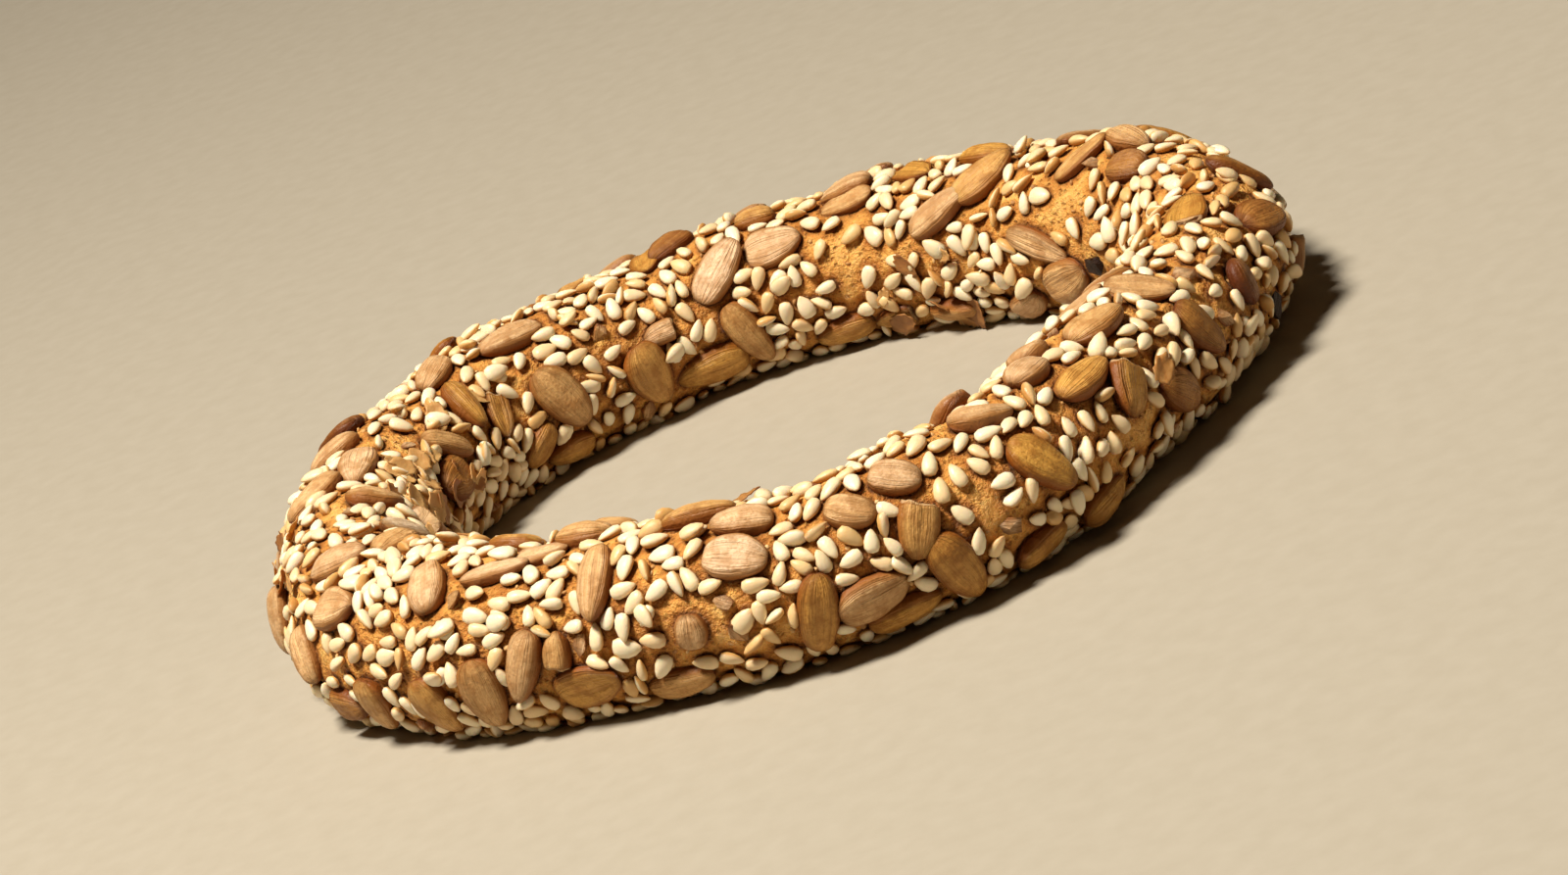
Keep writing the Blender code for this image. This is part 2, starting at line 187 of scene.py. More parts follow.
FLAKE_GATHERINGS = (
    (168.0, 130.0), (186.0, 88.0), (152.0, 152.0), (54.0, -130.0),
)  # degrees around the ring and around the rope
FLAKE_REACH = 6.0 * MM
FLAKE_CHANCE, GATHERED_CHANCE = 0.003, 0.9  # anywhere, and more at the middle of a gathering
FLAKE_GROWTH = (0.5, 1.1)
FLAKE_LIFT = (0.6 * MM, 1.2 * MM)
FLAKE_PITCH, FLAKE_ROLL = (0.05, 0.42), 0.25
LOWEST_FLAKE, HIGHEST_FLAKE = 2 * MM, 15.5 * MM
THROWS = 4000  # places tried for the chips, and again for the skins

# How far noise pushes the skin of each piece, and how far its lumps are apart
KERNEL_NOISE = (0.16 * MM, 2.4 * MM)
IVORY_NOISE = (0.07 * MM, 1.6 * MM)
TOASTED_NOISE = (0.08 * MM, 1.6 * MM)
CHIP_NOISE = (0.18 * MM, 0.9 * MM)
FLAKE_NOISE = (0.25 * MM, 1.1 * MM)
CRUMB_NOISE = (0.12 * MM, 0.35 * MM)

# Dough
DOUGH_TURNS, DOUGH_ROUNDS = 720, 130
TRAY_RISE = 0.1 * MM  # the dough's flat underside, a hair above the lowest seeds
SEED_REST = 0.02 * MM  # nothing that lies on the dough reaches lower than this

# Camera, which sees the ring as the photograph does, and the lights, placed from its own axes
CAMERA_DISTANCE = 0.622
CAMERA_ELEVATION = math.radians(18.1)
CAMERA_ROLL = math.radians(21.5)
CAMERA_LENS = 129.7
AIM_RIGHT, AIM_UP = 1.14 * MM, -1.56 * MM  # the frame's middle, from the middle of the rope's own ring
LIGHTS = (
    ("key", (-0.57, 0.67, 0.47), 0.9, 0.2, 15.8, (1.0, 0.925, 0.80)),
    ("fill", (0.9, 0.35, 0.7), 1.4, 1.0, 0.35, (1.0, 0.7, 0.38)),
)  # name, direction from the camera's right, up and back axes, distance, size, power and colour
WORLD_COLOUR, WORLD_STRENGTH = (1.0, 0.72, 0.42, 1.0), 0.025
FLOOR_SIZE = 6.0


# The skin of the dough


def waves(angle, table):
    return sum(height * np.cos(count * (angle - math.radians(crest))) for count, height, crest in table)


def from_angle(angle, middle):
    """Angle measured from middle, between minus and plus half a turn."""
    return (angle - middle + math.pi) % TURN - math.pi


def join_swell(turn):
    return JOIN_SWELL * np.exp(-((from_angle(turn, JOIN_ANGLE) / JOIN_SPREAD) ** 2))


def pressed_by_tray(height):
    """Height above the tray after baking: flat below it, rounded near it, unchanged well above it."""
    rounded = (height + TRAY_ROUNDING) ** 2 / (4 * TRAY_ROUNDING)
    return np.where(height > TRAY_ROUNDING, height, np.where(height < -TRAY_ROUNDING, 0.0, rounded))


def skin(turn, around):
    """Points of the skin: turn goes around the ring, around goes around the rope from its outer side up."""
    centre = RING_RADIUS + waves(turn, RING_WAVES)
    thick = ROPE_RADIUS + waves(turn, ROPE_WAVES) + join_swell(turn)
    thick = thick + sum(h * np.cos(m * turn + n * around + start) for m, n, h, start in CRUST_LUMPS)
    out = centre + thick * np.cos(around)
    up = ROPE_RADIUS - TRAY_FLAT + thick * np.sin(around)
    return np.stack((out * np.cos(turn), out * np.sin(turn), pressed_by_tray(up)), axis=-1) + RING_SHIFT


def unit(vectors):
    return vectors / np.linalg.norm(vectors, axis=-1, keepdims=True)


def skin_frame(turn, around):
    """The skin's points there, the directions along the rope, and the outward normals."""
    along = unit(skin(turn + SLOPE_STEP, around) - skin(turn - SLOPE_STEP, around))
    across = skin(turn, around + SLOPE_STEP) - skin(turn, around - SLOPE_STEP)
    return skin(turn, around), along, unit(np.cross(along, across))


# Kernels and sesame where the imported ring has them


def seed_place(turn, around, spin, lift, scale):
    """The matrix that lays a seed on the skin, its length turned by spin from the rope's direction."""
    point, along, normal = (Vector(v) for v in skin_frame(turn, around))
    length_axis = Matrix.Rotation(spin, 3, normal) @ along
    length_axis = (length_axis - normal * length_axis.dot(normal)).normalized()
    turned = Matrix((length_axis, normal.cross(length_axis), normal)).transposed()
    return Matrix.Translation(point + normal * lift) @ turned.to_4x4() @ Matrix.Diagonal((*scale, 1.0))


def random_spot(rng):
    """A place on the skin, as likely on each square millimetre of it."""
    while True:
        turn, around = rng.uniform(0, TURN), rng.uniform(-math.pi, math.pi)
        if rng.uniform(0, RING_RADIUS + ROPE_RADIUS) < RING_RADIUS + ROPE_RADIUS * math.cos(around):
            return turn, around


def lowest_reach(place, size):
    """Height of the lowest corner of the seed's own box."""
    return place[2][3] - sum(abs(place[2][axis]) * size[axis] / 2 for axis in range(3))


def lay_clear_of_tray(turn, around, spin, lift, scale, size):
    """The seed as it fell, or turned along the rope if an end would reach the tray, or None if both do."""
    for tried in (spin, 0.0):
        place = seed_place(turn, around, tried, lift, scale)
        if lowest_reach(place, size) > SEED_FLOOR_GAP:
            return place
    return None


def spine(place, size):
    """Three points along a seed: its middle and a point towards each end."""
    reach = SPINE_REACH * size[0]
    return [place @ Vector((along, 0.0, 0.0)) for along in (-reach, 0.0, reach)]


def placed_kernels(taken):
    """Matrices for the kernels of the table."""
    laid = []
    for turn, around, spin, length, width, tone in PLACED_KERNELS:
        scale = (length * MM / KERNEL_SIZE[0], width * MM / KERNEL_SIZE[1], 1.0)
        place = seed_place(math.radians(turn), math.radians(around), math.radians(spin), KERNEL_LIFT, scale)
        laid.append(place)
        taken.extend(spine(place, KERNEL_SIZE))
    return laid


def faces_away(place):
    """Whether the skin under the seed faces away from the side that the table fills."""
    return place.to_3x3().col[2].normalized().dot(LOOKED_AT_FROM) < SPREAD_FACING


def anywhere(place):
    return True


def spread_seeds(count, size, room, lift, sizes_of, allowed, taken, rng):
    """Matrices for seeds laid one by one, each at a random place with room to the spines already there."""
    laid = []
    while len(laid) < count:
        turn, around = random_spot(rng)
        spin, scale = rng.uniform(0, TURN), sizes_of(rng)
        place = lay_clear_of_tray(turn, around, spin, lift, scale, size)
        if place is None or not allowed(place):
            continue
        points = spine(place, size)
        if all((point - other).length > room for point in points for other in taken):
            laid.append(place)
            taken.extend(points)
    return laid


def kernel_scale(rng):
    whole = rng.uniform(*KERNEL_GROWTH)
    if rng.random() < BROKEN_SHARE:
        return (whole * rng.uniform(*BROKEN_LENGTH), whole * rng.uniform(*BROKEN_WIDTH), whole)
    return (whole, whole * rng.uniform(*KERNEL_STOUTNESS), whole * rng.uniform(*KERNEL_FULLNESS))


def sesame_scale(rng):
    whole = rng.uniform(*SESAME_GROWTH)
    return (whole, whole * rng.uniform(*SESAME_STOUTNESS), whole)


# Room on the crust


class Crust:
    """What lies on the crust, as balls sorted into cells, so that a new seed finds its neighbours fast."""

    CELL = 3.6 * MM
    KERNEL_BALLS = ((-0.33, 0.38), (-0.13, 0.46), (0.1, 0.43), (0.31, 0.28))  # shares of length and of width
    SEED_BALLS = ((-0.19, 0.44), (0.19, 0.38))

    def __init__(self):
        self.cells = {}

    def cell_of(self, point):
        return tuple(int(c // self.CELL) for c in point)

    def take(self, balls):
        for ball in balls:
            self.cells.setdefault(self.cell_of(ball[:3]), []).append(ball)

    def has_room(self, ball):
        x, y, z, radius = ball
        cx, cy, cz = self.cell_of(ball[:3])
        for ix in (cx - 1, cx, cx + 1):
            for iy in (cy - 1, cy, cy + 1):
                for iz in (cz - 1, cz, cz + 1):
                    for ox, oy, oz, other in self.cells.get((ix, iy, iz), ()):
                        reach = radius + other
                        if (ox - x) ** 2 + (oy - y) ** 2 + (oz - z) ** 2 < reach * reach:
                            return False
        return True


def balls_of(middle, axis, length, width, table):
    """Balls along a seed's length that fill its outline."""
    return [
        (*(m + a * at * length for m, a in zip(middle, axis)), share * width)
        for at, share in table
    ]


class Places:
    """Where pieces of one kind lie: their middles, rotations, stretches, shape numbers and tones."""

    def __init__(self):
        self.rows = []

    def add(self, at, turned, stretch, shape, tone):
        self.rows.append((tuple(at), turned.to_quaternion(), tuple(stretch), shape, tone))

    def points(self, name):
        """A mesh of loose points that carry all of it as attributes."""
        mesh = bpy.data.meshes.new(name)
        mesh.from_pydata([row[0] for row in self.rows], [], [])
        columns = (("turned", "QUATERNION", "value", 1), ("stretch", "FLOAT_VECTOR", "vector", 2),
                   ("shape", "INT", "value", 3), ("tone", "FLOAT", "value", 4))
        for label, kind, field, place in columns:
            values = np.array([row[place] for row in self.rows]).ravel()
            mesh.attributes.new(label, kind, "POINT").data.foreach_set(field, values)
        return mesh


def bareness(turn, around):
    """How bare the dough is there: 0 where sesame lies thick, 1 in the middle of a bare patch."""
    drift = np.cos(7 * turn + 2.0 * np.sin(around)) + np.cos(13 * turn - 2 * around + 1.0)
    drift = drift + np.cos(4 * turn + 3 * around + 2.6)
    bare = EVENLY_BARE + DRIFTING_BARE * drift + THINNER_AT_ENDS * np.cos(turn) ** 6
    bare = np.clip(bare, 0.0, BAREST_DRIFT)
    for ring_degrees, rope_degrees, reach in BARE_PATCHES:
        along = RING_RADIUS * from_angle(turn, math.radians(ring_degrees))
        across = ROPE_RADIUS * from_angle(around, math.radians(rope_degrees))
        bare = np.maximum(bare, np.exp(-(((along**2 + across**2) / reach**2) ** 2)))
    return bare


def thrown(draws, count):
    """Random places on the skin, as likely on each square millimetre, as rows of plain numbers."""
    turn, around = draws.uniform(0, TURN, count), draws.uniform(-math.pi, math.pi, count)
    chance = draws.uniform(0, RING_RADIUS + ROPE_RADIUS, count)
    kept = chance < RING_RADIUS + ROPE_RADIUS * np.cos(around)
    turn, around = turn[kept], around[kept]
    point, along, normal = skin_frame(turn, around)
    return zip(point, along, normal, bareness(turn, around))


def frame_of(along, normal, spin, roll=0.0, pitch=0.0):
    """Rotation of a piece: its length turned by spin on the skin, rolled about its length, and tipped up."""
    lying = Matrix((along, np.cross(normal, along), normal)).transposed()
    turns = Matrix.Rotation(spin, 3, "Z") @ Matrix.Rotation(-pitch, 3, "Y") @ Matrix.Rotation(roll, 3, "X")
    return lying @ turns


def lay_kernels(crust, places, draws):
    """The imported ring's kernels, each a little tipped, and its first sesame."""
    rng, taken = random.Random(RANDOM_SEED), []
    kernels = placed_kernels(taken)
    kernels += spread_seeds(
        KERNEL_COUNT - len(kernels), KERNEL_SIZE, KERNEL_ROOM, KERNEL_LIFT,
        kernel_scale, faces_away, taken, rng,
    )
    sesame = spread_seeds(
        PACKED_SESAME_COUNT, SESAME_SIZE, PACKED_SESAME_ROOM, SESAME_LIFT,
        sesame_scale, anywhere, taken, rng,
    )
    for number, place in enumerate(kernels):
        middle, turned, scale = place.decompose()
        turned = turned.to_matrix()
        roll, pitch = draws.normal(0, KERNEL_ROLL), draws.normal(0, KERNEL_PITCH)
        tipped = turned @ Matrix.Rotation(roll, 3, "X") @ Matrix.Rotation(pitch, 3, "Y")
        tone = kernel_tone(draws)
        if number < len(PLACED_KERNELS):
            tone = PLACED_KERNELS[number][5]
        places.add(middle, tipped, scale, kernel_form(number, scale, draws), tone)
        length, width = KERNEL_SIZE[0] * scale.x, KERNEL_SIZE[1] * scale.y
        crust.take(balls_of(middle, turned.col[0], length, width, crust.KERNEL_BALLS))
    return sesame


def kernel_tone(draws):
    """A random tone, mostly beige, tan or golden."""
    tone, pale, dark = draws.uniform(0.0, 0.62), draws.uniform(0.05, 0.3), draws.uniform(0.56, 0.74)
    return draws.choice((tone, pale, dark), p=(0.5, 0.3, 0.2))


def kernel_form(number, scale, draws):
    """The number of a kernel's form: the one that it is shown with, or one drawn from those that suit it."""
    if number >= len(PLACED_KERNELS):
        return int(draws.choice(BROKEN_FORMS if scale.x < SHORT_SHARE * scale.z else WHOLE_FORMS))
    row = PLACED_KERNELS[number]
    drawn = int(draws.choice(SHORT_FORMS if row[3] < SHORT_KERNEL else WHOLE_FORMS))
    return SHOWN_FORMS.get(row[:2], drawn)


def lay_chips(crust, places, draws):
    """Angular chips of kernel: the burnt ones where they are, then others wherever they find room."""
    for ring_degrees, rope_degrees in BURNT_CHIPS:
        point, along, normal = skin_frame(math.radians(ring_degrees), math.radians(rope_degrees))
        crust.take([(*point, CHIP_REACH)])
        turned = frame_of(along, normal, BURNT_SPIN)
        places.add(point + normal * BURNT_LIFT, turned, BURNT_STRETCH, 0, 1.0)
    for point, along, normal, _ in thrown(draws, THROWS):
        if len(places.rows) == CHIP_COUNT:
            return
        size = draws.uniform(*CHIP_GROWTH)
        ball = (*point, CHIP_REACH * size)
        if point[2] > LOWEST_CHIP and crust.has_room(ball):
            crust.take([ball])
            spin = draws.uniform(0, TURN)
            turned = frame_of(along, normal, spin, draws.normal(0, CHIP_ROLL), draws.normal(0, CHIP_PITCH))
            width, thickness = size * draws.uniform(*CHIP_STOUTNESS), size * draws.uniform(*CHIP_FULLNESS)
            tone, form = draws.uniform(PALEST_CHIP, DARKEST_CHIP), int(draws.integers(CHIP_FORMS))
            places.add(point + normal * CHIP_LIFT, turned, (size, width, thickness), form, tone)


def lay_sesame(packed, crust, pale, toasted, draws):
    """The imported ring's sesame, then what finds room beside it, denser away from the bare patches."""
    for place in packed:
        middle, turned, scale = place.decompose()
        turned = turned.to_matrix()
        crust.take(balls_of(middle, turned.col[0], SESAME_SIZE[0], SESAME_SIZE[1], crust.SEED_BALLS))
        pale.add(middle, turned, scale, int(draws.integers(SESAME_FORMS)), draws.uniform(0, 1))
    spots = []
    for point, along, normal, bare in thrown(draws, SESAME_TRIES):
        if draws.uniform() < bare**2 or (point[2] < NEAR_TRAY and draws.uniform() < MISSED_NEAR_TRAY):
            continue
        on_edge = draws.uniform() < ON_EDGE_SHARE
        size = draws.uniform(*LOOSE_GROWTH)
        length, width = SESAME_SIZE[0] * size, SESAME_SIZE[1] * size * draws.uniform(*LOOSE_STOUTNESS)
        roll = draws.choice((-1, 1)) * draws.uniform(*EDGE_ROLL) if on_edge else draws.normal(0, LYING_ROLL)
        room = SESAME_ROOM * (1 + ROOM_WHERE_BARE * bare) * (ON_EDGE_ROOM if on_edge else 1.0)
        start = draws.uniform(0, TURN)
        for turn_tried in range(SESAME_SPINS):
            spin = start + turn_tried * math.pi / SESAME_SPINS
            turned = frame_of(along, normal, spin, roll, draws.normal(0, LYING_PITCH))
            balls = balls_of(point, turned.col[0], length, width * room, crust.SEED_BALLS)
            if all(crust.has_room(ball) for ball in balls):
                crust.take(balls)
                lift = (EDGE_LIFT if on_edge else LYING_LIFT) + draws.normal(0, UNEVEN_LIFT)
                middle = point + normal * lift
                kind = toasted if draws.uniform() < TOASTED_SHARE else pale
                thickness = size * draws.uniform(*LOOSE_FULLNESS)
                stretch = (length / SESAME_SIZE[0], width / SESAME_SIZE[1], thickness)
                kind.add(middle, turned, stretch, int(draws.integers(SESAME_FORMS)), draws.uniform(0, 1))
                spots.append((point, along, normal))
                break
    lay_on_top(spots, pale, draws)


def lay_on_top(spots, pale, draws):
    """Sesame stuck on other sesame, each leaning on the one that it lies on."""
    chosen = []
    for number in draws.permutation(len(spots)):
        if len(chosen) == ON_TOP_COUNT:
            return
        point, along, normal = spots[number]
        if point[2] < LOWEST_ON_TOP or any(np.linalg.norm(point - o) < ON_TOP_SPACING for o in chosen):
            continue
        chosen.append(point)
        spin, pitch = draws.uniform(0, TURN), draws.uniform(*ON_TOP_PITCH)
        turned = frame_of(along, normal, spin, draws.normal(0, ON_TOP_ROLL), pitch)
        middle = point + normal * ON_TOP_LIFT + np.array(turned.col[1]) * draws.normal(0, ON_TOP_SHIFT)
        size = draws.uniform(*ON_TOP_GROWTH)
        pale.add(middle, turned, (size,) * 3, int(draws.integers(SESAME_FORMS)), draws.uniform(0, 1))


def lay_flakes(places, draws):
    """Papery skins off the kernels, stuck down at one end and lifted at the other, many gathered."""
    gathered = [skin(math.radians(turn), math.radians(around)) for turn, around in FLAKE_GATHERINGS]
    for point, along, normal, _ in thrown(draws, THROWS):
        nearest = min(np.linalg.norm(point - middle) for middle in gathered)
        chance = FLAKE_CHANCE + GATHERED_CHANCE * math.exp(-((nearest / FLAKE_REACH) ** 2))
        if LOWEST_FLAKE < point[2] < HIGHEST_FLAKE and draws.uniform() < chance:
            pitch, roll = draws.uniform(*FLAKE_PITCH), draws.normal(0, FLAKE_ROLL)
            turned = frame_of(along, normal, draws.uniform(0, TURN), roll, pitch)
            size = draws.uniform(*FLAKE_GROWTH)
            middle = point + normal * draws.uniform(*FLAKE_LIFT)
            places.add(middle, turned, (size,) * 3, int(draws.integers(FLAKE_FORMS)), draws.uniform(0, 1))


# Shapes of one seed, chip or skin, each one unit long, wide and thick

KERNEL_SIDES, KERNEL_STEPS = 30, 16
SLAB = 0.72  # how square a kernel's section is: 1 for an ellipse, less for a slab with steep rims
SESAME_SIDES, SESAME_STEPS = 10, 6
SESAME_TAPER = 0.3
BLUNT_END = 0.41  # how sharp a seed's blunt end is
CUT = -3.0  # what local says of a broken face, instead of its place along the seed


def mesh_of(shape, name):
    """The finished shape as a mesh."""
    mesh = bpy.data.meshes.new(name)
    shape.to_mesh(mesh)
    shape.free()
    return mesh


def lofted(name, stations, sides, point_at):
    """A closed mesh through rings of points between two poles.

    A station is a place along the seed and how far its ring is open: less than 1 on a broken face.
    Each point keeps its place on the seed as the attribute local.
    """
    shape = bmesh.new()
    place = shape.verts.layers.float_vector.new("local")
    rings = []
    for number, station in enumerate(stations):
        pole = number in (0, len(stations) - 1)
        ring = []
        for side in range(1 if pole else sides):
            angle = TURN * side / sides
            vert = shape.verts.new(point_at(station, angle))
            along = station[0] if station[1] == 1.0 else CUT
            vert[place] = (along, 0.0 if pole else math.cos(angle), 0.0 if pole else math.sin(angle))
            ring.append(vert)
        rings.append(ring)
    for low, high in zip(rings, rings[1:]):
        for side in range(sides):
            beside = (side + 1) % sides
            corners = [low[side % len(low)], low[beside % len(low)]]
            corners += [high[beside % len(high)], high[side % len(high)]]
            shape.faces.new(list(dict.fromkeys(corners)))
    return mesh_of(shape, name)


def end_fullness(a, tip):
    """Half width of a seed at a, from its blunt end at -1 to its tip at 1; tip is how sharp the tip is."""
    sharpness = BLUNT_END + (tip - BLUNT_END) * ((a + 1) / 2) ** 2
    return max(1 - a * a, 0.0) ** sharpness


def kernel_mesh(name, tip, taper, bend, cup, groove, flat_top, broken_at):
    """A sunflower kernel: a slab with a rounded rim, maybe grooved, split flat or broken short."""
    first = -1.0 if broken_at is None else broken_at
    spread = [(1 - math.cos(math.pi * n / KERNEL_STEPS)) / 2 for n in range(KERNEL_STEPS + 1)]
    stations = [(first + (1 - first) * share, 1.0) for share in spread]
    if broken_at is not None:
        spread = [(n / KERNEL_STEPS) ** 1.2 for n in range(1, KERNEL_STEPS - 2)]
        stations = [(first, 0.0), (first, 0.5), (first, 0.88)]
        stations += [(first + (1 - first) * share, 1.0) for share in spread] + [(0.97, 1.0), (1.0, 1.0)]

    def point_at(station, angle):
        a, closing = station
        wide = 0.5 * end_fullness(a, tip) * (1 - taper * a) * closing
        thick = 0.5 * max(1 - abs(a) ** 2.6, 0.0) ** 0.5 * (1 - 0.12 * a) * closing
        across = math.copysign(abs(math.cos(angle)) ** SLAB, math.cos(angle))
        high = math.copysign(abs(math.sin(angle)) ** SLAB, math.sin(angle))
        if flat_top and high > 0:
            high *= 0.35
        if high > 0:
            high -= groove * math.exp(-((across / 0.3) ** 2)) * (1 - a * a)
        along = (a - first) / (1 - first) - 0.5
        if closing < 1:
            along += 0.025 * math.sin(5 * angle) * closing + 0.05 * across * closing - 0.02
        return (along, wide * across + bend * (a * a - 0.4), thick * high + cup * (a * a - 0.4))

    return lofted(name, stations, KERNEL_SIDES, point_at)


# Sharpness of the tip, taper, bend to the side, cup, depth of a groove or height of a ridge, whether it is
# split flat, and where one end is broken off
KERNEL_SHAPES = (
    (0.46, 0.15, 0.0, 0.02, -0.1, False, None),
    (0.54, 0.2, 0.035, 0.0, 0.16, False, None),
    (0.42, 0.08, -0.035, 0.04, 0.0, False, None),
    (0.5, 0.2, 0.045, 0.04, -0.2, False, None),
    (0.45, 0.16, 0.0, 0.0, 0.25, True, None),
    (0.38, 0.05, 0.02, -0.03, 0.14, False, None),
    (0.38, 0.05, 0.03, 0.02, 0.1, False, None),
    (0.42, -0.08, 0.02, 0.0, 0.0, False, -0.3),
    (0.45, 0.08, -0.03, 0.02, 0.1, False, -0.5),
    (0.48, 0.18, 0.0, 0.0, 0.2, True, -0.6),
)
WHOLE_FORMS = (0, 0, 1, 1, 2, 3, 3, 4, 5)
SHORT_FORMS = (5, 6, 6, 9)
BROKEN_FORMS = (7, 8, 9)


def sesame_mesh(name, tip, bend):
    """A sesame seed: a plump flattened drop."""
    stations = [(-math.cos(math.pi * n / SESAME_STEPS), 1.0) for n in range(SESAME_STEPS + 1)]

    def point_at(station, angle):
        a = station[0]
        half = 0.5 * end_fullness(a, tip) * (1 - SESAME_TAPER * a)
        return (0.5 * a, half * math.cos(angle) + bend * (a * a - 0.4), half * math.sin(angle))

    return lofted(name, stations, SESAME_SIDES, point_at)


SESAME_SHAPES = ((0.62, 0.0), (0.72, 0.03), (0.55, -0.03))
SESAME_FORMS = len(SESAME_SHAPES)


def chip_mesh(name, number):
    """A chip of kernel: the hull of a few random points, so it has flat broken faces."""
    rng = random.Random(number)
    shape = bmesh.new()
    for _ in range(15):
        point = Vector([rng.gauss(0, 1) for _ in range(3)]).normalized() * rng.uniform(0.4, 0.55)
        shape.verts.new(point)
    hull = bmesh.ops.convex_hull(shape, input=shape.verts[:])
    unused = {v for v in hull["geom_unused"] + hull["geom_interior"] if isinstance(v, bmesh.types.BMVert)}
    bmesh.ops.delete(shape, geom=list(unused), context="VERTS")
    place = shape.verts.layers.float_vector.new("local")
    for vert in shape.verts:
        vert[place] = vert.co * 2
    return mesh_of(shape, name)


CHIP_FORMS = 5


def flake_mesh(name, number):
    """A papery skin: a thin curled leaf with a torn outline, closed all round."""
    rng = random.Random(number + 40)
    columns, rows, thin = 9, 7, 0.09
    curl, twist = rng.uniform(0.5, 0.9), rng.uniform(-0.4, 0.4)
    edge = [rng.uniform(0.75, 1.0) for _ in range(2 * (columns + rows))]
    shape = bmesh.new()
    place = shape.verts.layers.float_vector.new("local")
    sheets = []
    for level in (0, 1):
        sheet = []
        for i in range(columns):
            for j in range(rows):
                u, v = 2 * i / (columns - 1) - 1, 2 * j / (rows - 1) - 1
                torn = edge[i + j] if max(abs(u), abs(v)) > 0.9 else 0.9
                x = 0.5 * u * math.sqrt(1 - 0.4 * v * v) * torn
                y = 0.5 * v * math.sqrt(1 - 0.5 * u * u) * torn
                z = curl * y * y * 2 + twist * x * y + 0.35 * x * x + thin * level
                vert = shape.verts.new((x, y, z))
                vert[place] = (u, v, level)
                sheet.append(vert)
        sheets.append(sheet)
    low, high = sheets

    def at(sheet, i, j):
        return sheet[i * rows + j]

    for i in range(columns - 1):
        for j in range(rows - 1):
            corners = ((i, j), (i + 1, j), (i + 1, j + 1), (i, j + 1))
            shape.faces.new([at(high, *corner) for corner in corners])
            shape.faces.new([at(low, *corners[n]) for n in (0, 3, 2, 1)])
    rim = [(i, 0) for i in range(columns)] + [(columns - 1, j) for j in range(1, rows)]
    rim += [(i, rows - 1) for i in range(columns - 2, -1, -1)] + [(0, j) for j in range(rows - 2, 0, -1)]
    for here, beside in zip(rim, rim[1:] + rim[:1]):
        shape.faces.new((at(low, *here), at(low, *beside), at(high, *beside), at(high, *here)))
    return mesh_of(shape, name)


FLAKE_FORMS = 4


def crumb_mesh(name):
    """A round crumb, which the crumbs' tree then makes uneven."""
    shape = bmesh.new()
    bmesh.ops.create_icosphere(shape, subdivisions=1, radius=0.5)
    return mesh_of(shape, name)


def shelf(name, meshes):
    """A collection of the shapes that a tree picks from, in name order."""
    made = bpy.data.collections.new(name)
    for number, mesh in enumerate(meshes):
        made.objects.link(bpy.data.objects.new(f"{name}_{number:02d}", mesh))
    return made


# Node trees


def socket_of(sockets, key):
    """The socket at that place or, by name, the one that is in use."""
    if isinstance(key, int):
        return sockets[key]
    return next(s for s in sockets if s.name == key and s.enabled)


def add(tree, kind, inputs=None, **settings):
    """A new node with its settings, its inputs given as values or as other nodes' sockets."""
    made = tree.nodes.new(kind)
    for name, value in settings.items():
        setattr(made, name, value)
    for key, value in (inputs or {}).items():
        target = socket_of(made.inputs, key)
        if isinstance(value, bpy.types.NodeSocket):
            tree.links.new(value, target)
        else:
            target.default_value = value
    return made


def maths(tree, operation, *values):
    return add(tree, "ShaderNodeMath", dict(enumerate(values)), operation=operation).outputs[0]


def product(tree, first, *others):
    """All the values multiplied."""
    for value in others:
        first = maths(tree, "MULTIPLY", first, value)
    return first


def weighed(tree, start, *terms):
    """The start plus each term's value times its share."""
    total = start
    for value, share in terms:
        total = maths(tree, "MULTIPLY_ADD", value, share, total)
    return total


def vectors(tree, operation, *values):
    return add(tree, "ShaderNodeVectorMath", dict(enumerate(values)), operation=operation).outputs[0]


def scaled(tree, vector, by):
    return add(tree, "ShaderNodeVectorMath", {0: vector, "Scale": by}, operation="SCALE").outputs[0]


def between(tree, value, low, high, low_to=0.0, high_to=1.0):
    """The value's place between low and high, clamped, as a number from low_to to high_to."""
    inputs = {"Value": value, "From Min": low, "From Max": high, "To Min": low_to, "To Max": high_to}
    return add(tree, "ShaderNodeMapRange", inputs, interpolation_type="SMOOTHSTEP").outputs[0]


def noise(tree, place, spacing, detail=2.0, rough=0.5):
    """Noise from 0 to 1 whose lumps are about spacing apart."""
    inputs = {"Vector": place, "Scale": 1.0 / spacing, "Detail": detail, "Roughness": rough}
    return add(tree, "ShaderNodeTexNoise", inputs)


def geometry_tree(name, sizes):
    """A new tree with geometry in and out and the named inputs, with its group input and output nodes."""
    tree = bpy.data.node_groups.new(name, "GeometryNodeTree")
    tree.interface.new_socket("Geometry", in_out="INPUT", socket_type="NodeSocketGeometry")
    for label, kind in sizes:
        tree.interface.new_socket(label, in_out="INPUT", socket_type="NodeSocket" + kind)
    tree.interface.new_socket("Geometry", in_out="OUTPUT", socket_type="NodeSocketGeometry")
    return tree, tree.nodes.new("NodeGroupInput").outputs, tree.nodes.new("NodeGroupOutput")


def carried(tree, label, kind):
    """An attribute that the points or the surface carry."""
    made = add(tree, "GeometryNodeInputNamedAttribute", {"Name": label}, data_type=kind)
    return socket_of(made.outputs, "Attribute")


def random_value(tree, kind, inputs):
    """A random value for each point or copy."""
    return socket_of(add(tree, "FunctionNodeRandomValue", inputs, data_type=kind).outputs, "Value")


def parts_of(tree, vector):
    """The vector's three parts."""
    return add(tree, "ShaderNodeSeparateXYZ", {0: vector}).outputs


def cells(tree, place, spacing):
    """How far the middle of the nearest cell is, for cells about spacing wide."""
    return add(tree, "ShaderNodeTexVoronoi", {"Vector": place, "Scale": 1 / spacing}).outputs["Distance"]


def position(tree):
    return add(tree, "GeometryNodeInputPosition").outputs[0]


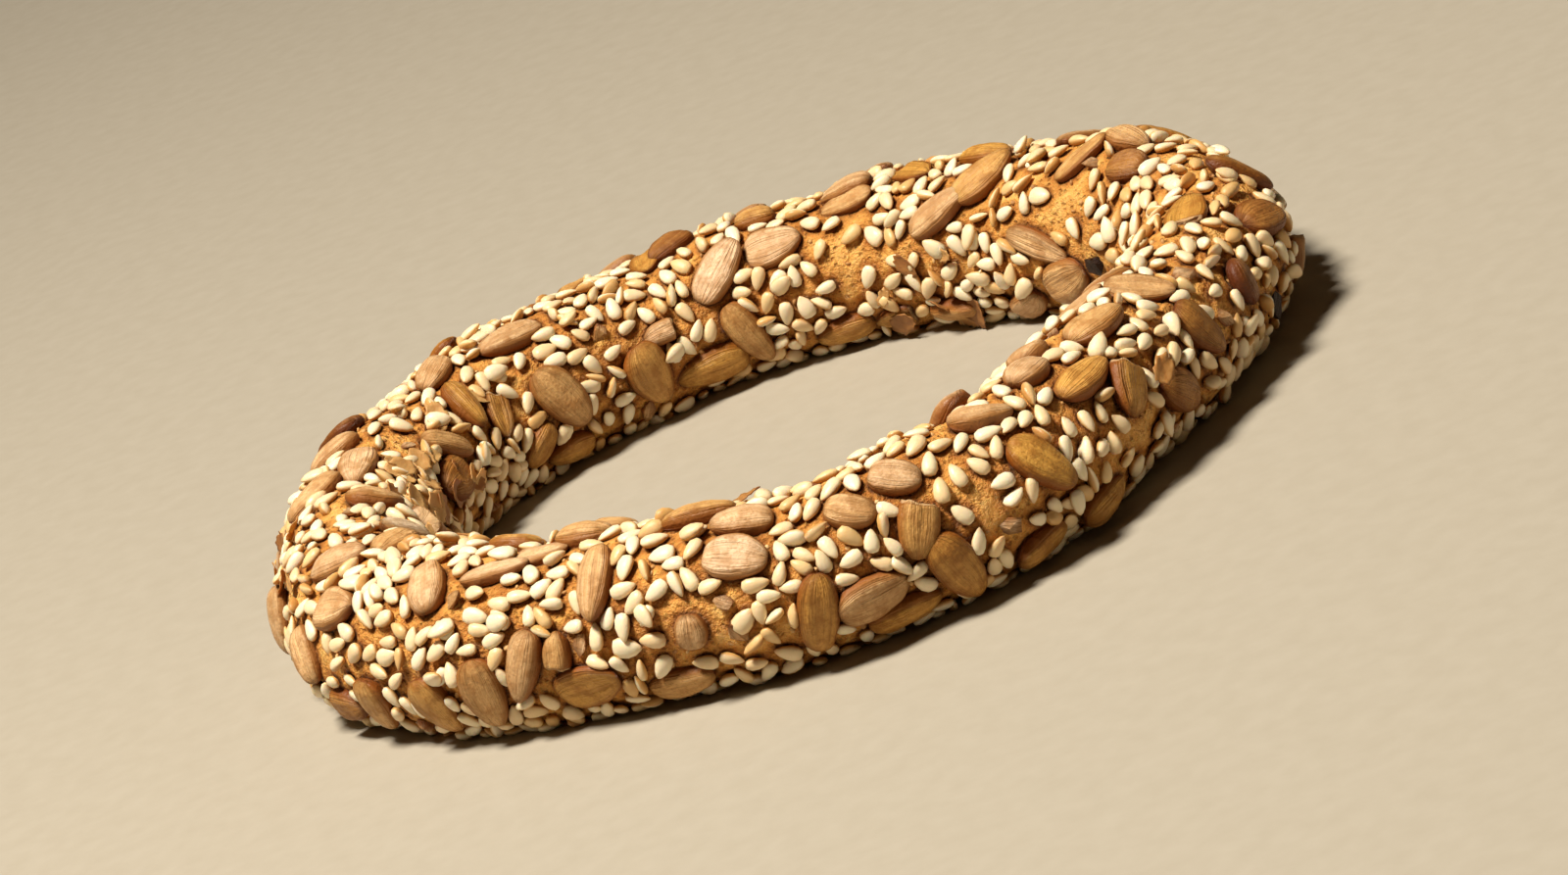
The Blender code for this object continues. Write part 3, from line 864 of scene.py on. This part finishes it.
def above_tray(tree, geometry, lowest):
    """The geometry with nothing lower than lowest, as the tray pressed it."""
    parts = parts_of(tree, position(tree))
    height = maths(tree, "MAXIMUM", parts[2], lowest)
    pressed = add(tree, "ShaderNodeCombineXYZ", {0: parts[0], 1: parts[1], 2: height}).outputs[0]
    return add(tree, "GeometryNodeSetPosition", {"Geometry": geometry, "Position": pressed}).outputs[0]


def roughened(tree, geometry, height, spacing):
    """The geometry with each point pushed aside by noise, so that no two copies stay alike."""
    colour = add(tree, "ShaderNodeTexNoise", {
        "Vector": position(tree), "Scale": maths(tree, "DIVIDE", 1.0, spacing), "Detail": 1.0,
    }).outputs["Color"]
    aside = vectors(tree, "SUBTRACT", colour, (0.5, 0.5, 0.5))
    push = scaled(tree, aside, product(tree, height, 2.0))
    return add(tree, "GeometryNodeSetPosition", {"Geometry": geometry, "Offset": push}).outputs[0]


def dressed(tree, geometry, material, smooth=True):
    """The geometry shaded and given its material: the end of each tree."""
    shaded = add(tree, "GeometryNodeSetShadeSmooth", {"Geometry": geometry, "Shade Smooth": smooth})
    inputs = {"Geometry": shaded.outputs[0], "Material": material}
    return add(tree, "GeometryNodeSetMaterial", inputs).outputs[0]


def scatter_tree():
    """Lays a shape on each point, as the point's attributes say, then makes the copies real and uneven."""
    tree, given, result = geometry_tree("Laid On Crust", (
        ("Shapes", "Collection"), ("Length", "Float"), ("Width", "Float"), ("Thickness", "Float"),
        ("Unevenness", "Float"), ("Unevenness Spacing", "Float"), ("Tray Height", "Float"),
        ("Smooth", "Bool"), ("Material", "Material"),
    ))
    shapes = add(tree, "GeometryNodeCollectionInfo", {
        "Collection": given["Shapes"], "Separate Children": True, "Reset Children": True,
    }).outputs[0]
    sides = {0: given["Length"], 1: given["Width"], 2: given["Thickness"]}
    size = add(tree, "ShaderNodeCombineXYZ", sides).outputs[0]
    laid = add(tree, "GeometryNodeInstanceOnPoints", {
        "Points": given["Geometry"],
        "Instance": shapes,
        "Pick Instance": True,
        "Instance Index": carried(tree, "shape", "INT"),
        "Rotation": carried(tree, "turned", "QUATERNION"),
        "Scale": vectors(tree, "MULTIPLY", size, carried(tree, "stretch", "FLOAT_VECTOR")),
    }).outputs[0]
    real = add(tree, "GeometryNodeRealizeInstances", {"Geometry": laid}).outputs[0]
    uneven = roughened(tree, real, given["Unevenness"], given["Unevenness Spacing"])
    lower, finer = (product(tree, given[label], 0.35) for label in ("Unevenness", "Unevenness Spacing"))
    uneven = roughened(tree, uneven, lower, finer)
    pressed = above_tray(tree, uneven, given["Tray Height"])
    tree.links.new(dressed(tree, pressed, given["Material"], given["Smooth"]), result.inputs[0])
    return tree


def crust_tree():
    """Raises the dough's skin in lumps and grain, sinks its pores, and lets it dip beside each seed.

    It also stores how far the nearest seed is, as the attribute seed_distance: 1 from the shade width on.
    """
    tree, given, result = geometry_tree("Crust Relief", (
        ("Kernels", "Object"), ("Sesame", "Object"),
        ("Lump Height", "Float"), ("Grain Height", "Float"), ("Pore Depth", "Float"),
        ("Dip Depth", "Float"), ("Dip Width", "Float"), ("Shade Width", "Float"),
        ("Tray Height", "Float"), ("Material", "Material"),
    ))
    seeds = add(tree, "GeometryNodeJoinGeometry")
    for label in ("Sesame", "Kernels"):
        one_kind = add(tree, "GeometryNodeObjectInfo", {"Object": given[label]})
        tree.links.new(one_kind.outputs["Geometry"], seeds.inputs[0])
    nearest = add(tree, "GeometryNodeProximity", {0: seeds.outputs[0]}, target_element="FACES")
    near = nearest.outputs["Distance"]
    away = maths(tree, "MINIMUM", maths(tree, "DIVIDE", near, given["Shade Width"]), 1.0)
    marked = add(tree, "GeometryNodeStoreNamedAttribute", {
        "Geometry": given["Geometry"], "Name": "seed_distance", "Value": away,
    }, data_type="FLOAT", domain="POINT").outputs[0]

    place = position(tree)
    lumps = maths(tree, "SUBTRACT", noise(tree, place, 5.0 * MM, 1.0).outputs[0], 0.5)
    grain = maths(tree, "SUBTRACT", noise(tree, place, 1.5 * MM, 2.0, 0.6).outputs[0], 0.5)
    pores = between(tree, cells(tree, place, 1.7 * MM), 0.12, 0.34, 1.0, 0.0)
    ratio = maths(tree, "DIVIDE", near, given["Dip Width"])
    dip = maths(tree, "EXPONENT", product(tree, ratio, ratio, -1.0))
    sunk = weighed(tree, 0.0, (pores, given["Pore Depth"]), (dip, given["Dip Depth"]))
    lumpy = product(tree, lumps, given["Lump Height"], 2.0)
    grainy = product(tree, grain, given["Grain Height"], 2.0)
    height = maths(tree, "SUBTRACT", maths(tree, "ADD", lumpy, grainy), sunk)
    off_tray = between(tree, parts_of(tree, place)[2], 0.2 * MM, 2.0 * MM)
    normal = add(tree, "GeometryNodeInputNormal").outputs[0]
    push = scaled(tree, normal, product(tree, height, off_tray))
    raised = add(tree, "GeometryNodeSetPosition", {"Geometry": marked, "Offset": push}).outputs[0]
    pressed = above_tray(tree, raised, given["Tray Height"])
    real = add(tree, "GeometryNodeRealizeInstances", {"Geometry": pressed}).outputs[0]
    tree.links.new(dressed(tree, real, given["Material"]), result.inputs[0])
    return tree


def crumb_tree():
    """Strews crumbs over the dough with a fixed seed and gives each its own uneven form."""
    tree, given, result = geometry_tree("Crumbs On Crust", (
        ("Crumb", "Object"), ("Crumb Size", "Float"), ("Density", "Float"), ("Seed", "Int"),
        ("Unevenness", "Float"), ("Unevenness Spacing", "Float"), ("Tray Height", "Float"),
        ("Material", "Material"),
    ))
    high = maths(tree, "GREATER_THAN", parts_of(tree, position(tree))[2], LOWEST_CRUMB)
    density = product(tree, given["Density"], high)
    strewn = add(tree, "GeometryNodeDistributePointsOnFaces", {
        "Mesh": given["Geometry"], "Density": density, "Seed": given["Seed"],
    })
    stretch = random_value(tree, "FLOAT_VECTOR", {
        "Min": (0.35, 0.35, 0.3), "Max": (1.15, 1.0, 0.9), "Seed": maths(tree, "ADD", given["Seed"], 1.0),
    })
    turned = random_value(tree, "FLOAT_VECTOR", {
        "Min": (0, 0, 0), "Max": (TURN, TURN, TURN), "Seed": maths(tree, "ADD", given["Seed"], 2.0),
    })
    crumb = add(tree, "GeometryNodeObjectInfo", {"Object": given["Crumb"]}).outputs["Geometry"]
    laid = add(tree, "GeometryNodeInstanceOnPoints", {
        "Points": strewn.outputs["Points"], "Instance": crumb, "Rotation": turned,
        "Scale": scaled(tree, stretch, given["Crumb Size"]),
    }).outputs[0]
    toned = add(tree, "GeometryNodeStoreNamedAttribute", {
        "Geometry": laid, "Name": "tone", "Value": random_value(tree, "FLOAT", {"Seed": given["Seed"]}),
    }, data_type="FLOAT", domain="INSTANCE").outputs[0]
    real = add(tree, "GeometryNodeRealizeInstances", {"Geometry": toned}).outputs[0]
    uneven = roughened(tree, real, given["Unevenness"], given["Unevenness Spacing"])
    pressed = above_tray(tree, uneven, given["Tray Height"])
    tree.links.new(dressed(tree, pressed, given["Material"]), result.inputs[0])
    return tree


def in_scene(name, data):
    """A new object in the scene."""
    made = bpy.data.objects.new(name, data)
    bpy.context.scene.collection.objects.link(made)
    return made


def grown(name, start, tree, values):
    """An object with the plain mesh that the tree makes from the start mesh and the values of its inputs."""
    made = in_scene(name, start)
    modifier = made.modifiers.new(tree.name, "NODES")
    modifier.node_group = tree
    for item in tree.interface.items_tree:
        if item.in_out == "INPUT" and item.name in values:
            modifier[item.identifier] = values[item.name]
    bpy.context.view_layer.update()
    graph = bpy.context.evaluated_depsgraph_get()
    final = made.evaluated_get(graph)
    mesh = bpy.data.meshes.new_from_object(final, preserve_all_data_layers=True, depsgraph=graph)
    made.modifiers.clear()
    made.data = mesh
    mesh.name = name
    return made


# Finishes


def finish_named(name):
    """A new material, its node tree, its shader and the object's own coordinates."""
    made = bpy.data.materials.new(name)
    made.use_nodes = True
    tree = made.node_tree
    shader = tree.nodes["Principled BSDF"]
    return made, tree, shader, add(tree, "ShaderNodeTexCoord").outputs["Object"]


def surface_value(tree, label, output="Fac"):
    return add(tree, "ShaderNodeAttribute", attribute_name=label).outputs[output]


def ramp(tree, value, stops):
    made = add(tree, "ShaderNodeValToRGB", {"Fac": value})
    band = made.color_ramp.elements
    band[1].position = stops[-1][0]
    for at, _ in stops[1:-1]:
        band.new(at)
    for element, (at, colour) in zip(band, stops):
        element.position = at
        element.color = (*colour, 1.0)
    return made.outputs["Color"]


def blended(tree, share, first, second, style="MIX"):
    inputs = {"Factor": share, "A": first, "B": second}
    made = add(tree, "ShaderNodeMix", inputs, data_type="RGBA", blend_type=style)
    return socket_of(made.outputs, "Result")


def bumped(tree, height, distance):
    inputs = {"Height": height, "Distance": distance, "Strength": 1.0}
    return add(tree, "ShaderNodeBump", inputs).outputs[0]


def set_shader(tree, shader, **values):
    for label, value in values.items():
        target = shader.inputs[label.replace("_", " ")]
        if isinstance(value, bpy.types.NodeSocket):
            tree.links.new(value, target)
        else:
            target.default_value = value


def dough_finish():
    """Baked dough: golden where bare, orange-brown between the seeds partly as painted shade, rough, pitted
    and flecked.
    """
    made, tree, shader, place = finish_named("baked_dough")
    broad = noise(tree, place, 8 * MM, 2.0).outputs[0]
    middle = noise(tree, place, 1.6 * MM, 4.0, 0.65).outputs[0]
    fine = noise(tree, place, 0.45 * MM, 3.0, 0.65).outputs[0]
    bare = surface_value(tree, "seed_distance")
    # Darker towards the seeds: partly browner crust there, partly painted shade.
    value = weighed(tree, -0.21, (between(tree, bare, 0.0, 1.0), 0.46), (broad, 0.4), (middle, 0.7))
    colour = ramp(tree, value, (
        (0.1, (0.20, 0.058, 0.008)),
        (0.3, (0.40, 0.135, 0.018)),
        (0.5, (0.58, 0.235, 0.042)),
        (0.72, (0.78, 0.37, 0.08)),
        (0.95, (0.95, 0.56, 0.17)),
    ))
    pits = between(tree, weighed(tree, cells(tree, place, 0.9 * MM), (fine, 0.5)), 0.3, 0.6, 1.0, 0.0)
    grains = between(tree, fine, 0.5, 0.68)
    flecks = between(tree, noise(tree, place, 0.7 * MM, 1.0).outputs[0], 0.7, 0.76)
    # Painted contact shadow: the dough turns near-black brown close to each seed.
    painted_contact_shadow = between(tree, bare, 0.0, 0.32, 0.92, 0.0)
    for layer, strength, tint in (
        # Painted shade in the pits.
        (pits, 0.36, (0.36, 0.11, 0.015, 1.0)),
        # Lighter on the raised grain: partly lighter crust, partly painted highlight.
        (grains, 0.26, (0.94, 0.55, 0.17, 1.0)),
        (flecks, 0.55, (0.2, 0.06, 0.01, 1.0)),
    ):
        colour = blended(tree, product(tree, layer, strength), colour, tint)
    # Painted contact shadow round each seed.
    colour = blended(tree, painted_contact_shadow, colour, (0.075, 0.02, 0.003, 1.0))
    relief = weighed(tree, 0.0, (middle, 1.1), (fine, 0.9), (pits, -0.6))
    set_shader(
        tree, shader, Base_Color=colour, Roughness=between(tree, fine, 0.3, 0.7, 0.68, 0.48),
        Normal=bumped(tree, relief, 0.8 * MM), Subsurface_Weight=0.2,
        Subsurface_Radius=(1.0, 0.4, 0.12), Subsurface_Scale=0.7 * MM, Specular_IOR_Level=0.35,
    )
    return made


def kernel_finish():
    """Sunflower kernel: softly streaked along its length, browner at rim and tip, pale where broken, with a
    painted highlight on top and painted shade on its lower sides.
    """
    made, tree, shader, place = finish_named("sunflower_kernel")
    tone = surface_value(tree, "tone")
    length, across, up = parts_of(tree, surface_value(tree, "local", "Vector"))
    lines = add(tree, "ShaderNodeCombineXYZ", {
        0: weighed(tree, 0.0, (tone, 57.0), (length, 0.5)),
        1: product(tree, across, 3.3),
        2: product(tree, up, 0.5),
    }).outputs[0]
    stripes = noise(tree, lines, 1.0, 3.0, 0.55).outputs[0]
    hair = noise(tree, vectors(tree, "MULTIPLY", lines, (1.0, 4.0, 1.0)), 1.0, 2.0).outputs[0]
    blotches = noise(tree, place, 1.8 * MM, 3.0, 0.6).outputs[0]
    speckle = noise(tree, place, 0.35 * MM, 2.0, 0.6).outputs[0]
    colour = ramp(tree, tone, (
        (0.0, (0.76, 0.57, 0.38)),
        (0.2, (0.75, 0.51, 0.31)),
        (0.42, (0.64, 0.385, 0.17)),
        (0.58, (0.60, 0.31, 0.062)),
        (0.72, (0.33, 0.138, 0.034)),
        (0.86, (0.17, 0.064, 0.018)),
        (1.0, (0.04, 0.015, 0.008)),
    ))
    toast = blended(tree, 1.0, colour, (0.54, 0.385, 0.215, 1.0), "MULTIPLY")
    pale = blended(tree, 1.0, colour, (1.28, 1.3, 1.32, 1.0), "MULTIPLY")
    shaded = blended(tree, 1.0, toast, (0.62, 0.42, 0.25, 1.0), "MULTIPLY")
    rim = weighed(tree, maths(tree, "ABSOLUTE", across), (blotches, 0.4))
    ends = weighed(tree, maths(tree, "ABSOLUTE", length), (blotches, 0.3))
    # Each layer's value, where it starts and ends, its strength at both, and its tint
    for value, low, high, low_to, high_to, tint in (
        (stripes, 0.32, 0.6, 0.55, 0.0, toast),
        (stripes, 0.5, 0.72, 0.0, 0.5, pale),
        (blotches, 0.42, 0.68, 0.0, 0.85, toast),
        (speckle, 0.48, 0.68, 0.0, 0.5, toast),
        # Painted highlight: the kernel's top made paler.
        (up, 0.45, 1.0, 0.0, 0.16, pale),
        (rim, 0.76, 1.1, 0.0, 0.98, toast),
        (ends, 0.9, 1.15, 0.0, 0.75, toast),
        (up, -0.2, 0.62, 0.95, 0.0, shaded),
        (length, -2.6, -1.4, 0.5, 0.0, (0.74, 0.54, 0.30, 1.0)),
    ):
        colour = blended(tree, between(tree, value, low, high, low_to, high_to), colour, tint)
    relief = weighed(tree, 0.0, (stripes, 1.0), (hair, 0.6), (blotches, 0.6), (speckle, 0.22))
    set_shader(
        tree, shader, Base_Color=colour, Roughness=between(tree, blotches, 0.3, 0.7, 0.44, 0.6),
        Normal=bumped(tree, relief, 0.4 * MM), Subsurface_Weight=0.12,
        Subsurface_Radius=(1.0, 0.5, 0.22), Subsurface_Scale=0.8 * MM, Specular_IOR_Level=0.35,
    )
    return made


def sesame_finish(name, stops, rim_and_shade_colour):
    """Hulled sesame: smooth, waxy and slightly see-through, more golden at its tip and towards its lower
    side, where that is partly a golden rim and partly painted shade.
    """
    made, tree, shader, place = finish_named(name)
    tone = surface_value(tree, "tone")
    length, _, up = parts_of(tree, surface_value(tree, "local", "Vector"))
    clouds = noise(tree, place, 1.3 * MM, 2.0).outputs[0]
    value = weighed(tree, -0.1, (tone, 0.8), (clouds, 0.4))
    colour = ramp(tree, value, stops)
    tip = between(tree, length, 0.5, 1.0, 0.0, 0.5)
    # Towards the seed's lower side: partly a golden rim, partly painted shade.
    rim = between(tree, up, -0.2, 0.55, 0.95, 0.0)
    colour = blended(tree, maths(tree, "MAXIMUM", tip, rim), colour, (*rim_and_shade_colour, 1.0))
    fine = noise(tree, place, 0.25 * MM, 2.0).outputs[0]
    set_shader(
        tree, shader, Base_Color=colour, Roughness=between(tree, clouds, 0.3, 0.7, 0.36, 0.5),
        Normal=bumped(tree, fine, 0.03 * MM), Subsurface_Weight=0.3,
        Subsurface_Radius=(1.0, 0.55, 0.25), Subsurface_Scale=0.6 * MM, Specular_IOR_Level=0.45,
    )
    return made


def flake_finish():
    """Papery seed skin: dry, thin and streaked, letting some light through."""
    made, tree, shader, place = finish_named("papery_skin")
    tone = surface_value(tree, "tone")
    streaks = noise(tree, vectors(tree, "MULTIPLY", place, (1.0, 0.35, 1.0)), 0.5 * MM, 3.0).outputs[0]
    value = weighed(tree, -0.1, (tone, 0.7), (streaks, 0.5))
    colour = ramp(tree, value, (
        (0.1, (0.20, 0.075, 0.018)),
        (0.45, (0.40, 0.18, 0.045)),
        (0.8, (0.58, 0.33, 0.12)),
    ))
    set_shader(
        tree, shader, Base_Color=colour, Roughness=0.6, Normal=bumped(tree, streaks, 0.08 * MM),
        Subsurface_Weight=0.3, Subsurface_Radius=(1.0, 0.6, 0.3), Subsurface_Scale=0.5 * MM,
    )
    return made


def crumb_finish():
    """Crumbs of the crust: rough, from pale to well browned."""
    made, tree, shader, place = finish_named("crust_crumb")
    fine = noise(tree, place, 0.3 * MM, 3.0).outputs[0]
    value = weighed(tree, 0.0, (surface_value(tree, "tone"), 0.7), (fine, 0.4))
    colour = ramp(tree, value, (
        (0.1, (0.30, 0.12, 0.035)),
        (0.5, (0.60, 0.32, 0.10)),
        (0.95, (0.82, 0.56, 0.27)),
    ))
    set_shader(tree, shader, Base_Color=colour, Roughness=0.7, Normal=bumped(tree, fine, 0.1 * MM))
    return made


def floor_finish():
    """Plain pale matt paper with a faint tooth."""
    made, tree, shader, place = finish_named("pale_floor")
    tooth = noise(tree, place, 3 * MM, 3.0).outputs[0]
    colour = ramp(tree, tooth, ((0.3, (0.36, 0.32, 0.255)), (0.7, (0.38, 0.34, 0.275))))
    set_shader(tree, shader, Base_Color=colour, Roughness=0.85, Normal=bumped(tree, tooth, 0.05 * MM))
    return made


# The ring


def dough_mesh():
    """The smooth skin of the dough as a closed grid of quads."""
    turn = np.linspace(0, TURN, DOUGH_TURNS, endpoint=False)
    around = np.linspace(0, TURN, DOUGH_ROUNDS, endpoint=False)
    points = skin(*np.meshgrid(turn, around, indexing="ij")).reshape(-1, 3)
    i, j = (n.ravel() for n in np.meshgrid(np.arange(DOUGH_TURNS), np.arange(DOUGH_ROUNDS), indexing="ij"))
    next_i, next_j = (i + 1) % DOUGH_TURNS, (j + 1) % DOUGH_ROUNDS
    corners = ((i, j), (next_i, j), (next_i, next_j), (i, next_j))
    faces = np.stack([a * DOUGH_ROUNDS + b for a, b in corners], axis=1)
    mesh = bpy.data.meshes.new("dough_skin")
    mesh.from_pydata(points, [], faces.tolist())
    return mesh


def scattered(tree, name, places, shapes, size, uneven_by, material, smooth=True):
    """One piece: every copy of its shapes, laid on the crust where places says."""
    values = dict(zip(("Length", "Width", "Thickness"), size))
    values.update(zip(("Unevenness", "Unevenness Spacing"), uneven_by))
    return grown(name, places.points(name + "_points"), tree, {
        "Shapes": shelf(name + "_shapes", shapes), **values, "Tray Height": SEED_REST,
        "Smooth": smooth, "Material": material,
    })


def make_ring():
    """Every piece of the bread ring."""
    draws = np.random.default_rng(RANDOM_SEED)
    crust = Crust()
    kernels, chips, pale, toasted, flakes = (Places() for _ in range(5))
    packed_sesame = lay_kernels(crust, kernels, draws)
    lay_chips(crust, chips, draws)
    lay_sesame(packed_sesame, crust, pale, toasted, draws)
    lay_flakes(flakes, draws)

    tree = scatter_tree()
    kernel_paint = kernel_finish()
    # After each ramp, the colour of the seed's tip and lower side: partly a golden rim, partly painted
    # shade.
    ivory = sesame_finish("ivory_sesame", (
        (0.1, (0.78, 0.58, 0.33)), (0.4, (0.85, 0.70, 0.46)), (0.9, (0.89, 0.78, 0.57)),
    ), (0.62, 0.34, 0.10))
    tan = sesame_finish("toasted_sesame", (
        (0.1, (0.66, 0.40, 0.15)), (0.5, (0.79, 0.57, 0.29)), (0.9, (0.86, 0.69, 0.44)),
    ), (0.50, 0.24, 0.06))

    kernel_shapes = [kernel_mesh(f"kernel_{n}", *form) for n, form in enumerate(KERNEL_SHAPES)]
    sesame_shapes = [sesame_mesh(f"sesame_{n}", *form) for n, form in enumerate(SESAME_SHAPES)]
    chip_shapes = [chip_mesh(f"chip_{n}", n) for n in range(CHIP_FORMS)]
    flake_shapes = [flake_mesh(f"flake_{n}", n) for n in range(FLAKE_FORMS)]
    made = [scattered(tree, *row) for row in (
        ("sunflower_kernels", kernels, kernel_shapes, KERNEL_SIZE, KERNEL_NOISE, kernel_paint),
        ("ivory_sesame", pale, sesame_shapes, SESAME_SIZE, IVORY_NOISE, ivory),
        ("toasted_sesame", toasted, sesame_shapes, SESAME_SIZE, TOASTED_NOISE, tan),
        ("kernel_chips", chips, chip_shapes, CHIP_SIZE, CHIP_NOISE, kernel_paint, False),
        ("seed_skins", flakes, flake_shapes, FLAKE_SIZE, FLAKE_NOISE, flake_finish()),
    )]
    dough = grown("baked_dough", dough_mesh(), crust_tree(), {
        "Kernels": made[0], "Sesame": made[1], "Lump Height": 0.26 * MM, "Grain Height": 0.3 * MM,
        "Pore Depth": 0.24 * MM, "Dip Depth": 0.1 * MM, "Dip Width": 0.35 * MM, "Shade Width": 1.5 * MM,
        "Tray Height": TRAY_RISE, "Material": dough_finish(),
    })
    crumb = bpy.data.objects.new("crumb", crumb_mesh("crumb"))
    crumbs = grown("crumbs", dough.data, crumb_tree(), {
        "Crumb": crumb, "Crumb Size": CRUMB_SIZE, "Density": CRUMBS_PER_SQUARE_METRE, "Seed": RANDOM_SEED,
        "Unevenness": CRUMB_NOISE[0], "Unevenness Spacing": CRUMB_NOISE[1], "Tray Height": SEED_REST,
        "Material": crumb_finish(),
    })
    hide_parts("bread_ring")
    for piece in (dough, crumbs, *made):
        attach(piece, "root")


# Floor, camera and lights


def make_floor():
    shape = bmesh.new()
    bmesh.ops.create_grid(shape, x_segments=1, y_segments=1, size=FLOOR_SIZE / 2)
    mesh = mesh_of(shape, "floor")
    mesh.materials.append(floor_finish())
    in_scene("floor", mesh)


def camera_axes():
    """The camera's right, up and back directions, turned about its line of sight by its roll."""
    back = Vector((0.0, -math.cos(CAMERA_ELEVATION), math.sin(CAMERA_ELEVATION)))
    up = Vector((0.0, math.sin(CAMERA_ELEVATION), math.cos(CAMERA_ELEVATION)))
    right = Vector((1.0, 0.0, 0.0))
    rolled_right = right * math.cos(CAMERA_ROLL) - up * math.sin(CAMERA_ROLL)
    rolled_up = up * math.cos(CAMERA_ROLL) + right * math.sin(CAMERA_ROLL)
    return rolled_right, rolled_up, back


def aim_point():
    """The middle of the frame: near the middle of the ring, half way up the rope."""
    right, up, _ = camera_axes()
    return Vector(RING_SHIFT) + Vector((0, 0, ROPE_RADIUS - TRAY_FLAT)) + right * AIM_RIGHT + up * AIM_UP


def make_camera():
    right, up, back = camera_axes()
    data = bpy.data.cameras.new("camera")
    data.lens = CAMERA_LENS
    data.clip_start, data.clip_end = 0.01, 20.0
    camera = in_scene("camera", data)
    turned = Matrix((right, up, back)).transposed().to_4x4()
    camera.matrix_world = Matrix.Translation(aim_point() + back * CAMERA_DISTANCE) @ turned
    bpy.context.scene.camera = camera


def make_light(name, toward, distance, size, power, colour):
    """A square soft light, placed from the camera's axes and aimed at the ring."""
    right, up, back = camera_axes()
    direction = (right * toward[0] + up * toward[1] + back * toward[2]).normalized()
    data = bpy.data.lights.new(name, "AREA")
    data.size, data.energy, data.color = size, power, colour
    light = in_scene(name, data)
    light.rotation_mode = "QUATERNION"
    light.location = aim_point() + direction * distance
    light.rotation_quaternion = direction.to_track_quat("Z", "Y")


def make_studio():
    make_floor()
    make_camera()
    for light in LIGHTS:
        make_light(*light)
    world = bpy.data.worlds.new("studio")
    world.use_nodes = True
    background = world.node_tree.nodes["Background"]
    background.inputs["Color"].default_value = WORLD_COLOUR
    background.inputs["Strength"].default_value = WORLD_STRENGTH
    bpy.context.scene.world = world
    bpy.context.scene.view_settings.view_transform = "Standard"


make_ring()
make_studio()
